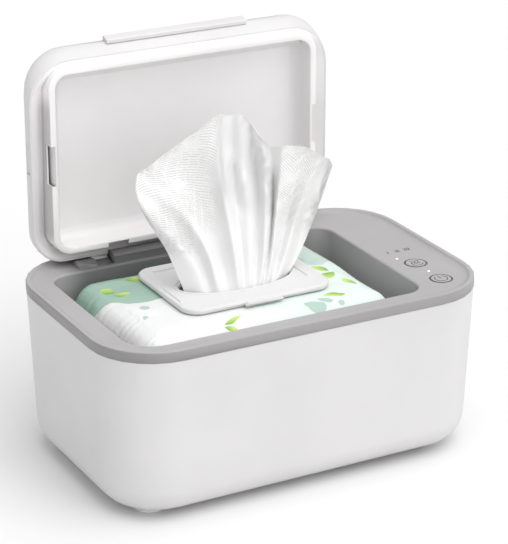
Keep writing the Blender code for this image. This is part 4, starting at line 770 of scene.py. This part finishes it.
def add_piece(name, points, faces, finish, body, pattern=None, flat=False):
    """A piece at the origin from arrays of points and quads. Points that coincide, as at a pole, are
    merged. The pattern, where there is one, is the name of a UV map and its place for each point."""
    mesh = bpy.data.meshes.new(name)
    mesh.vertices.add(len(points))
    mesh.vertices.foreach_set("co", np.ascontiguousarray(points, dtype=np.float32).ravel())
    mesh.loops.add(faces.size)
    mesh.loops.foreach_set("vertex_index", np.ascontiguousarray(faces, dtype=np.int32).ravel())
    mesh.polygons.add(len(faces))
    mesh.polygons.foreach_set("loop_start", np.arange(0, faces.size, 4, dtype=np.int32))
    mesh.update(calc_edges=True)
    if pattern:
        layer = mesh.uv_layers.new(name=pattern[0])
        layer.data.foreach_set("uv", np.ascontiguousarray(pattern[1][faces], dtype=np.float32).ravel())
    build = bmesh.new()
    build.from_mesh(mesh)
    bmesh.ops.remove_doubles(build, verts=build.verts, dist=1e-7)
    bmesh.ops.recalc_face_normals(build, faces=build.faces)
    build.to_mesh(mesh)
    build.free()
    if flat:
        mesh.shade_flat()
    else:
        mesh.shade_smooth()
    mesh.materials.append(finish)
    piece = put(name, mesh)
    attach(piece, body)
    return piece


def merged(parts):
    """Several (points, faces) as one: the faces of each count on from the points before it."""
    starts = np.cumsum([0] + [len(points) for points, faces in parts[:-1]])
    faces = [part[1] + start for part, start in zip(parts, starts)]
    return np.concatenate([part[0] for part in parts]), np.concatenate(faces)


def soft_step(value, low, high):
    """Whole-array form of the soft step from 0 at low to 1 at high."""
    share = np.clip((value - low) / (high - low), 0, 1)
    return share * share * (3 - 2 * share)


def ribbon(path, width, low, high, joined=False):
    """Flat strip of square section along a path: at each point four corners, half the width to either side
    of the path along its normal, at the low and the high level."""
    if joined:
        ahead = np.roll(path, -1, axis=0) - np.roll(path, 1, axis=0)
    else:
        ahead = np.gradient(path, axis=0)
    ahead /= np.linalg.norm(ahead, axis=1, keepdims=True)
    side = np.stack([-ahead[:, 1], ahead[:, 0]], axis=1) * width / 2
    corners = [(path + side, high), (path - side, high), (path - side, low), (path + side, low)]
    points = np.stack([np.column_stack([xy, np.full(len(path), z)]) for xy, z in corners], axis=1)
    faces = grid_faces(len(path), 4, joined, True)
    if not joined:
        last = 4 * (len(path) - 1)
        caps = np.array([[0, 1, 2, 3], [last + 3, last + 2, last + 1, last]])
        faces = np.concatenate([faces, caps])
    return points.reshape(-1, 3), faces


def circle(centre, radius, start=0.0, turn=360.0, count=96):
    """Points of an arc, in degrees from +X; a whole turn leaves its last point out."""
    share = np.arange(count) / count if turn == 360.0 else np.linspace(0, 1, count)
    angle = np.radians(start + turn * share)
    return np.array(centre) + radius * np.column_stack([np.cos(angle), np.sin(angle)])


def steam_line(centre, height, swing, count=40):
    """Upright wavy line: the way across is a sine of the height, with the swing and the number of waves."""
    share = np.linspace(-0.5, 0.5, count)
    across = swing * np.sin(share * 2 * STEAM_WAVES * math.pi)
    return np.array(centre) + np.column_stack([across, share * height])


def button_lines(kind, middle):
    """Lines of a button's sign: three steam lines over a bowl, or the power sign, which is an open circle
    round the foot of an upright bar."""
    if kind == "heat":
        places = [middle + (across, STEAM_UP) for across in (-STEAM_GAP, 0.0, STEAM_GAP)]
        lines = [steam_line(place, STEAM_HEIGHT, STEAM_SWING) for place in places]
        return lines + [circle(middle + (0.0, BOWL_UP), BOWL_RADIUS, BOWL_START, BOWL_TURN, 40)]
    bar = middle + np.column_stack([np.zeros(8), np.linspace(BAR_LOW, BAR_HIGH, 8)])
    return [circle(middle, POWER_RADIUS, POWER_START, POWER_TURN), bar]


def pack_outline(look, count):
    """The way round the pack seen from above, as arrays: centres of the corner arcs, outward normals, and
    how far along. On a straight side the centre moves and the normal rests; on an arc the normal turns."""
    half = (PACK_HIGH[:2] - PACK_LOW[:2]) / 2 - look.corner
    arc = math.pi / 2 * look.corner
    lengths = np.array([arc, 2 * half[0], arc, 2 * half[1]] * 2)
    ends = np.concatenate([[0], np.cumsum(lengths)])
    way = np.arange(count) / count * ends[-1]
    leg = np.searchsorted(ends, way, side="right") - 1
    share = (way - ends[leg]) / lengths[leg]
    signs = np.array([[1, 1], [-1, 1], [-1, -1], [1, -1]])
    turn = leg // 2
    on_arc = leg % 2 == 0
    angle = (turn + np.where(on_arc, share, 1.0)) * math.pi / 2
    start = signs[turn] * half
    after = signs[(turn + 1) % 4] * half
    centres = np.where(on_arc[:, None], start, start + (after - start) * share[:, None])
    return centres, np.column_stack([np.cos(angle), np.sin(angle)]), way


def pack_profile(look):
    """From the middle of the bottom to the middle of the top: inset, share of the way out from the middle,
    height, and distance over the surface from the top's edge. The side is a drafted wall between a small
    round at the foot and a shoulder, which is a quarter of an ellipse."""
    low, top = PACK_LOW[2], PACK_HIGH[2]
    bulge = top - look.shoulder_drop
    quarter = np.linspace(0, math.pi / 2, SHOULDER_STEPS)
    small = np.linspace(0, math.pi / 2, FOOT_STEPS)
    parts = [
        (FOOT_ROUND, np.linspace(0, 1, BOTTOM_STEPS), low),
        (FOOT_ROUND * (1 - np.sin(small)), 1, low + FOOT_ROUND * (1 - np.cos(small))),
        (0, 1, np.linspace(low + FOOT_ROUND, bulge, WALL_STEPS + 2)[1:-1]),
        (look.shoulder * (1 - np.cos(quarter)), 1, bulge + (top - bulge) * np.sin(quarter)),
        (look.shoulder, np.linspace(1, 0, TOP_STEPS + 1)[1:], top),
    ]
    parts = [np.broadcast_arrays(*part) for part in parts]
    inset, out, height = (np.concatenate(column) for column in zip(*parts))
    inset = inset + math.tan(PACK_DRAFT) * (DECK_Z - height)
    surface = np.concatenate([[0], np.cumsum(np.hypot(np.diff(inset), np.diff(height)))])
    edge = sum(len(part[0]) for part in parts[:-1]) - 1
    return inset, out, height, np.maximum(surface[edge] - surface, 0)


def wave(way, depth, pace, start):
    """Sine of the way: its depth, its pace in radians a metre and its start."""
    return depth * np.sin(way * pace + start)


def end_folds(look, normal, way, inset, rise):
    """How far the film is drawn in. Both ends have rounded folds: a power of the sine of the way round,
    whose pitch and depth wander by sines too. The sides have long waves. All fade at foot and shoulder."""
    facing = np.arctan2(normal[:, 1], normal[:, 0])
    left, right = (soft_step(np.cos(facing - end), *span) * share for end, span, share in FOLDED_ENDS)
    ends = (left + right)[None] * soft_step(rise, *FOLD_RISE) * (1 - soft_step(inset, *FOLD_FADE))
    bend = wave(way, *FOLD_BEND, rise * FOLD_LEAN)
    slow, quick = (wave(way, *sine) for sine in FOLD_WARPS)
    lobe = np.abs(np.sin(math.pi * (way + bend + (slow + quick)) / look.fold_pitch))
    uneven = 1 - FOLD_VARIES[0] + wave(way, *FOLD_VARIES)
    folds = look.fold_depth * ends * uneven * (1 - lobe ** FOLD_SHARPNESS)
    waves = look.wave_depth * (1 + np.sin(way * SIDE_PACE + SIDE_LEAN * rise)) * soft_step(rise, *SIDE_RISE)
    return folds + waves * (1 - soft_step(inset, *SIDE_FADE))


def top_creases(x, y):
    """How far the film sinks on top, outside the flat patch under the plate: a step, and a slow sag of
    crossed sines, less the ridges that fan out from near the middle, a root of the direction's sine."""
    beyond = [np.abs(way - seat) - half for way, seat, half in zip((x, y), PLATE_SEAT, PLATE_SEAT_HALF)]
    free = soft_step(np.maximum(*beyond), 0.0, PLATE_SEAT_EDGE)
    sag = SAG_DEPTH * free * (0.5 + 0.5 * np.sin(x * 150 + 1.1 * np.sin(y * 120)) * np.cos(y * 95 + x * 40))
    fan = np.abs(np.sin(CREASES * np.arctan2(y, x - CREASE_MIDDLE) + CREASE_START)) ** 0.5
    return sag + SEAT_STEP * free - CREASE_SHARE * (CREASE_DEPTH * free * fan) * free


def make_pack(look):
    """Refill pack: outline and profile crossed into a closed skin, with folds at its ends, waves along its
    sides and creases on its top. The print lies flat on top and runs down the sides along the normals."""
    centres, normal, way = pack_outline(look, ROUND_STEPS)
    inset, out, height, beyond = pack_profile(look)
    taken = np.minimum(inset, look.corner - LEAST_CORNER)
    shrink = np.maximum(inset - taken, 0)
    inner = np.sign(centres)[None] * np.maximum(np.abs(centres)[None] - shrink[:, None, None], 0)
    level = inner + normal[None] * (look.corner - taken)[:, None, None]
    inset, rise = inset[:, None], (height - PACK_LOW[2])[:, None] / (PACK_HIGH[2] - PACK_LOW[2])
    drawn = end_folds(look, normal, way[None], inset, rise) * (out == 1)[:, None]
    flat = level * out[:, None, None] - normal[None] * drawn[:, :, None]
    x, y = flat[..., 0], flat[..., 1]
    on_top = soft_step(inset, *TOP_REACHED) * (rise > 0.5)
    z = height[:, None] - on_top * (top_creases(x, y) + TOP_SINK)
    points = np.dstack([x + PACK_MIDDLE[0], y + PACK_MIDDLE[1], z]).reshape(-1, 3)
    edge = np.flatnonzero(beyond == 0)[0]
    sides = level[edge][None] + normal[None] * beyond[:, None, None]
    sheet = np.where(out[:, None, None] == 1, sides, flat)
    return points, grid_faces(len(height), len(way), False, True), sheet.reshape(-1, 2)


def spline_weights(count, knots):
    """Catmull-Rom weights of each of count places on a row of knots; the end knots count twice."""
    place = np.linspace(0, knots - 1, count)
    start = np.minimum(place.astype(int), knots - 2)
    t = place - start
    cubic = np.column_stack([
        -t + 2 * t ** 2 - t ** 3, 2 - 5 * t ** 2 + 3 * t ** 3, t + 4 * t ** 2 - 3 * t ** 3, -t ** 2 + t ** 3,
    ]) / 2
    weights = np.zeros((count, knots))
    columns = np.clip(start[:, None] + np.arange(-1, 3), 0, knots - 1)
    np.add.at(weights, (np.arange(count)[:, None], columns), cubic)
    return weights


def make_wipe(look, columns=420, rows=104):
    """Fan of the wipe: a Catmull-Rom spline through the points of each fold line from the slot up, crossed
    with another from line to line. Fine ripples, sines of both ways, grow towards the top edge. Gives the
    points, the faces, the UV map, the flat size and the area."""
    lines = FOLD_LINES.copy()
    mean = lines[..., 1].mean(axis=0, keepdims=True)
    lines[..., 1] = mean + (lines[..., 1] - mean) * look.fold_share
    across, up = spline_weights(columns, len(lines)), spline_weights(rows, lines.shape[1])
    points = np.einsum("ui,ijk,vj->vuk", across, lines, up)
    u, v = np.linspace(0, 1, columns)[None, :], np.linspace(0, 1, rows)[:, None]
    for depth, along, upward, power in RIPPLES:
        points[..., 1] += depth * np.sin(u * along + v * upward) * v ** power
    depth, along, start, power = EDGE_RIPPLE
    points[..., 2] += depth * np.sin(u * along + start) * v ** power
    points += np.array([*SLOT, RIM_Z])
    steps, rises = np.diff(points, axis=1), np.diff(points, axis=0)
    width = float(np.linalg.norm(steps, axis=2).sum(axis=1).max())
    length = float(np.linalg.norm(rises, axis=2).sum(axis=0).max())
    area = float(np.linalg.norm(np.cross(rises[:, :-1], steps[:-1]), axis=2).sum())
    cloth = np.stack(np.broadcast_arrays(u * width, v * length), axis=-1)
    return points.reshape(-1, 3), grid_faces(rows, columns), cloth.reshape(-1, 2), (width, length), area


def swept_ring(centre, half, z, radius, count=160, steps=12):
    """Round bead on an ellipse: the ellipse's point, plus a circle in the plane of its outward normal
    and the upright."""
    angle = np.linspace(0, 2 * math.pi, count, endpoint=False)[:, None]
    turn = np.linspace(0, 2 * math.pi, steps, endpoint=False)[None, :]
    normal = np.stack([np.cos(angle) / half[0], np.sin(angle) / half[1]], axis=-1)
    normal /= np.linalg.norm(normal, axis=-1, keepdims=True)
    reach = radius * np.cos(turn)
    x = centre[0] + half[0] * np.cos(angle) + normal[..., 0] * reach
    y = centre[1] + half[1] * np.sin(angle) + normal[..., 1] * reach
    points = np.stack(np.broadcast_arrays(x, y, z + radius * np.sin(turn)), axis=-1)
    return points.reshape(-1, 3), grid_faces(count, steps, True, True)


def vectors(mesh, kind="co"):
    """The places, or with another kind the normals, of a mesh's points, as rows of three."""
    rows = np.empty(3 * len(mesh.vertices), dtype=np.float32)
    mesh.vertices.foreach_get(kind, rows)
    return rows.reshape(-1, 3)


def spread_foot(piece, spread):
    """Widen a foot's copy under the tub: every point that isn't on the foot's axis moves out from it by the
    spread. The move fades to nothing just under the tub's bottom."""
    places = vectors(piece.data)
    away = places[:, :2] - (places[:, :2].min(axis=0) + places[:, :2].max(axis=0)) / 2
    reach = np.linalg.norm(away, axis=1, keepdims=True)
    low = np.clip((FOOT_FREE - places[:, 2:]) / FOOT_FADE, 0, 1) * (reach > FOOT_AXIS)
    places[:, :2] += away / np.maximum(reach, FOOT_AXIS) * spread * low
    piece.data.vertices.foreach_set("co", places.ravel())


def close_seam(piece, look):
    """Close the joint of the lid's two halves: the rim of the liner's copy moves out along its outward
    normal until it lies on the edge of the shell, a hair in front of it. Along the lid's front the hollow
    behind the rim rises to the same level, by a soft step of the height."""
    places = vectors(piece.data)
    depth = places[np.argmin(places[:, 0]), 1]
    rim = np.flatnonzero(np.abs(places[:, 1] - depth) < SAME_LEVEL)
    middle = (places[rim].min(axis=0) + places[rim].max(axis=0)) / 2
    rim = rim[np.argsort(np.arctan2(places[rim, 2] - middle[2], places[rim, 0] - middle[0]))]
    ahead = np.roll(places[rim], -1, axis=0) - np.roll(places[rim], 1, axis=0)
    normal = np.column_stack([ahead[:, 2], -ahead[:, 0]])
    normal /= np.linalg.norm(normal, axis=1, keepdims=True)
    hollow = (vectors(piece.data, "normal")[:, 1] < -0.1) & (places[:, 1] > LID_EDGE)
    front = places[rim, 2].max()
    fill = hollow * soft_step(places[:, 2], front - HOLLOW_FROM, front - HOLLOW_FULL)
    places[rim[:, None], [0, 2]] += normal * look.seam_cover
    places[rim, 1] = LID_EDGE
    places[:, 1] += (LID_EDGE - places[:, 1]) * fill
    places[hollow, 1] -= HOLLOW_LIFT
    piece.data.vertices.foreach_set("co", places.ravel())


def pill(start, end, width, low, height, count=28, rings=6):
    """Low rounded bar between two points: outlines of a stadium shape that shrink over a quarter round
    from the full width to a line on top."""
    start, end = np.array(start), np.array(end)
    ahead = (end - start) / np.linalg.norm(end - start)
    side = np.array([-ahead[1], ahead[0]])
    turn = np.linspace(0, math.pi, count)
    arcs = [np.column_stack([-np.sin(turn), np.cos(turn)]), np.column_stack([np.sin(turn), -np.cos(turn)])]
    arc = np.concatenate(arcs)
    base = np.repeat([start, end], count, axis=0)
    rise = np.linspace(0, math.pi / 2, rings)[:, None, None]
    flat = base[None] + width / 2 * np.cos(rise) * (arc[:, :1] * ahead + arc[:, 1:] * side)[None]
    z = np.broadcast_to(low + height * np.sin(rise), flat[..., :1].shape)
    points = np.concatenate([flat, z], axis=-1)
    bottom = np.concatenate([points[0][:, :2], np.full((2 * count, 1), low - height / 2)], axis=1)
    rows = np.concatenate([bottom[None], points])
    return rows.reshape(-1, 3), grid_faces(rings + 1, 2 * count, False, True)


class WARMER_OT_studio(bpy.types.Operator):
    """Make the floor, the lights and the camera"""

    bl_idname = "warmer.studio"
    bl_label = "Studio"

    def execute(self, context):
        look = context.scene.warmer_studio
        half = look.floor_size / 2
        points = np.array([[-half, -half, 0], [half, -half, 0], [half, half, 0], [-half, half, 0]])
        made, shader, place = new_finish("studio_floor")
        feed(shader, {
            "Base Color": tint(shade(look.floor_colour, 0.985), look.floor_colour, noise(place, 3.0)),
            "Roughness": 0.75 + noise(place, 240.0) * 0.1,
            "Specular IOR Level": 0.25,
        })
        mesh = bpy.data.meshes.new("studio_floor")
        mesh.from_pydata(points.tolist(), [], [(0, 1, 2, 3)])
        mesh.materials.append(made)
        put("studio_floor", mesh)
        world = bpy.data.worlds.new("studio_sky")
        world.use_nodes = True
        world.node_tree.nodes["Background"].inputs["Color"].default_value = (1.0, 1.0, 1.0, 1.0)
        world.node_tree.nodes["Background"].inputs["Strength"].default_value = look.sky
        context.scene.world = world
        lights = (("key_light", KEY_FROM, look.key_light), ("front_light", FRONT_FROM, look.front_light))
        for name, (x, y, z), strength in lights:
            lamp = bpy.data.lights.new(name, "SUN")
            lamp.energy = strength
            lamp.angle = LIGHT_SPREAD
            light = put(name, lamp)
            light.location = (x, y, z)
            light.rotation_euler = (math.atan2(math.hypot(x, y), z), 0.0, math.atan2(x, -y))
        lens = bpy.data.cameras.new("studio_camera")
        lens.lens = look.lens
        lens.sensor_width = 36.0
        lens.sensor_fit = "AUTO"
        lens.dof.use_dof = False
        camera = put("studio_camera", lens)
        camera.location = look.camera_place
        camera.rotation_euler = look.camera_turn
        context.scene.camera = camera
        context.scene.view_settings.view_transform = "Standard"
        return {"FINISHED"}


class WARMER_OT_housing(bpy.types.Operator):
    """Finish the tub, the tray, the lid, the dispenser plate and the feet"""

    bl_idname = "warmer.housing"
    bl_label = "Housing"

    def execute(self, context):
        look = context.scene.warmer_housing
        grain = (look.grain_size, look.grain_depth)
        # dark is painted shade, for the lid's arms, the tray's hinge hump and the rim's outer side
        dark = look.painted_shade_colour
        white = moulded("shell_white", look.shell_colour, look.gloss, *grain)
        skin(white, "tub_shell")
        skin(white, "base_plate")
        # Painted shade on the lid's hinge arms
        lid = moulded("lid_white", look.shell_colour, look.gloss, *grain, accent=dark, mask=arm_painted_shade)
        skin(lid, "lid_shell")
        skin(moulded("plate_white", look.plate_colour, look.gloss - PLATE_SHINE, *grain), "dispenser_plate")
        # Painted shade in the groove along the left side of the liner's lip
        liner = moulded(
            "liner_white", look.liner_colour, look.gloss - LINER_SHINE, *grain,
            accent=shade(look.liner_colour, GROOVE_SHADE), mask=groove_painted_shade)
        close_seam(skin(liner, "lid_liner"), look)
        # Painted shade on the tray's hinge hump and on its rim's outer side
        grey = moulded("tray_grey", look.tray_colour, look.tray_gloss, *grain, accent=dark, mask=tray_painted_shade)
        skin(grey, "inner_tray")
        rubber = soft_rubber()
        for number in range(1, 5):
            spread_foot(skin(rubber, f"foot_{number}"), look.foot_spread)
        return {"FINISHED"}


class WARMER_OT_inner_works(bpy.types.Operator):
    """Give the heater, the board, the leads and the screws their finishes"""

    bl_idname = "warmer.inner_works"
    bl_label = "Inner works"

    def execute(self, context):
        screws = [f"base_screw_{number}" for number in range(1, 5)] + ["board_screw_1", "board_screw_2"]
        pins = ["hinge_pin_left", "hinge_pin_right", "thermal_fuse"]
        steel = bare_metal("turned_steel", (0.62, 0.62, 0.63), 0.30, (900.0, 900.0, 6000.0))
        dress(steel, *screws, *pins)
        rolled = bare_metal("rolled_aluminium", (0.80, 0.81, 0.82), 0.34, (60.0, 4200.0, 900.0))
        dress(rolled, "heating_plate")
        dress(heater_film(), "heater_pad")
        dress(felt_pad(), "insulation_pad")
        dress(circuit_board(), "control_board")
        dress(lead_sleeve(), "power_lead", "heater_lead")
        dark = moulded("dark_moulding", (0.035, 0.035, 0.037), 0.48, 0.0006, 0.00003, 0.2)
        dress(dark, "switch_heat", "switch_power", "power_inlet", "temperature_sensor")
        return {"FINISHED"}


class WARMER_OT_controls(bpy.types.Operator):
    """Finish the buttons and the windows, and print the signs of the deck"""

    bl_idname = "warmer.controls"
    bl_label = "Controls"

    def execute(self, context):
        look = context.scene.warmer_deck
        house = context.scene.warmer_housing
        grain = (house.grain_size, house.grain_depth)
        key = moulded("button_grey", house.tray_colour, house.tray_gloss - BUTTON_SHINE, *grain)
        skin(key, "button_heat")
        skin(key, "button_power")
        grey = tuple(house.tray_colour)
        for mark in ("power", "level_1", "level_2", "level_3"):
            low, high = box_of(f"light_window_{mark}")
            glow = look.glow if mark in ("power", "level_1") else 0.0
            colour = tuple(look.glow_colour) if glow else grey
            window = light_window(f"window_{mark}", colour, grey, glow, (low + high) / 2)
            dress(window, f"light_window_{mark}", f"led_{mark}")
        ink = printed_ink(look.ink_colour)
        thick = look.ink_height
        for kind in ("heat", "power"):
            low, high = box_of(f"button_{kind}")
            middle = ((low + high) / 2)[:2]
            levels = (high[2] - thick / 2, high[2] + thick)
            parts = [ribbon(circle(middle, look.ring_radius), look.ring_width, *levels, joined=True)]
            parts += [ribbon(line, look.line_width, *levels) for line in button_lines(kind, middle)]
            add_piece(f"{kind}_sign", *merged(parts), ink, f"button_{kind}", flat=True)
        levels = (DECK_Z - thick / 2, DECK_Z + thick)
        for level in (1, 2, 3):
            low, high = box_of(f"light_window_level_{level}")
            spot = ((low + high) / 2)[:2]
            parts = []
            for index in range(level):
                place = spot + ((index - (level - 1) / 2) * LEVEL_GAP, look.sign_gap)
                parts.append(ribbon(steam_line(place, LEVEL_HEIGHT, LEVEL_SWING), look.line_width, *levels))
            add_piece(f"level_sign_{level}", *merged(parts), ink, "tub", flat=True)
            if level > 1:
                ends = (spot - (FILM_HALF, 0), spot + (FILM_HALF, 0))
                film = pill(*ends, look.film_width, DECK_Z - thick, 2 * thick)
                add_piece(f"window_film_{level}", *film, bpy.data.materials["tray_grey"], "tub")
        return {"FINISHED"}


class WARMER_OT_refill(bpy.types.Operator):
    """Make the printed refill pack"""

    bl_idname = "warmer.refill"
    bl_label = "Refill pack"

    def execute(self, context):
        look = context.scene.warmer_pack
        points, faces, sheet = make_pack(look)
        piece = add_piece("refill_film", points, faces, printed_film(look), "tub", ("print", sheet))
        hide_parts("refill_pack")
        return {"FINISHED"}


class WARMER_OT_dispenser(bpy.types.Operator):
    """Add the dispenser plate's bead, ridges and catch"""

    bl_idname = "warmer.dispenser"
    bl_label = "Dispenser"

    def execute(self, context):
        look = context.scene.warmer_dispenser
        top = PLATE_HIGH[2]
        front = PLATE_LOW[1] + CATCH_INSET
        size = (look.ridge_width, top, look.ridge_height)
        catch_ends = ((SLOT[0] - CATCH_HALF, front), (SLOT[0] + CATCH_HALF, front))
        pieces = {
            "slot_bead": swept_ring(SLOT, SLOT_HALF + look.rim_gap, top, look.rim_radius),
            "plate_ridges": merged([pill(SLOT + start, SLOT + end, *size) for start, end in RIDGES]),
            "catch_lip": pill(*catch_ends, CATCH_WIDTH, top - CATCH_DROP, CATCH_RISE),
        }
        for name, (points, faces) in pieces.items():
            add_piece(name, points, faces, bpy.data.materials["plate_white"], "tub")
        return {"FINISHED"}


class WARMER_OT_wipe(bpy.types.Operator):
    """Make the pulled-up wipe"""

    bl_idname = "warmer.wipe"
    bl_label = "Wipe"

    def execute(self, context):
        look = context.scene.warmer_wipe
        points, faces, cloth, flat, area = make_wipe(look)
        piece = add_piece("pulled_wipe", points, faces, embossed_cloth(look), "tub", ("cloth", cloth))
        wall = piece.modifiers.new("thickness", "SOLIDIFY")
        wall.thickness = look.thickness
        wall.offset = 0.0
        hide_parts("wipe")
        area = min(area, flat[0] * flat[1])
        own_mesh(piece)
        return {"FINISHED"}


class WARMER_PT_looks(bpy.types.Panel):
    """Sidebar panel with the warmer's pieces"""

    bl_label = "Wipe warmer"
    bl_idname = "WARMER_PT_looks"
    bl_space_type = "VIEW_3D"
    bl_region_type = "UI"
    bl_category = "Warmer"

    def draw(self, context):
        for operator in OPERATORS:
            self.layout.operator(operator.bl_idname)


LOOKS = {
    "warmer_studio": StudioLook,
    "warmer_housing": HousingLook,
    "warmer_deck": DeckLook,
    "warmer_pack": PackLook,
    "warmer_dispenser": DispenserLook,
    "warmer_wipe": WipeLook,
}
OPERATORS = (
    WARMER_OT_studio, WARMER_OT_housing, WARMER_OT_inner_works, WARMER_OT_controls, WARMER_OT_refill,
    WARMER_OT_dispenser, WARMER_OT_wipe,
)


def register():
    """Register the settings, the operators and the panel."""
    for name, look in LOOKS.items():
        bpy.utils.register_class(look)
        setattr(bpy.types.Scene, name, PointerProperty(type=look))
    for operator in OPERATORS:
        bpy.utils.register_class(operator)
    bpy.utils.register_class(WARMER_PT_looks)


def unregister():
    """Take them back in the opposite order."""
    bpy.utils.unregister_class(WARMER_PT_looks)
    for operator in reversed(OPERATORS):
        bpy.utils.unregister_class(operator)
    for name, look in reversed(LOOKS.items()):
        delattr(bpy.types.Scene, name)
        bpy.utils.unregister_class(look)


def main():
    """Make every piece."""
    register()
    bpy.ops.warmer.studio()
    bpy.ops.warmer.housing()
    bpy.ops.warmer.inner_works()
    bpy.ops.warmer.controls()
    bpy.ops.warmer.refill()
    bpy.ops.warmer.dispenser()
    bpy.ops.warmer.wipe()


if __name__ == "__main__":
    main()
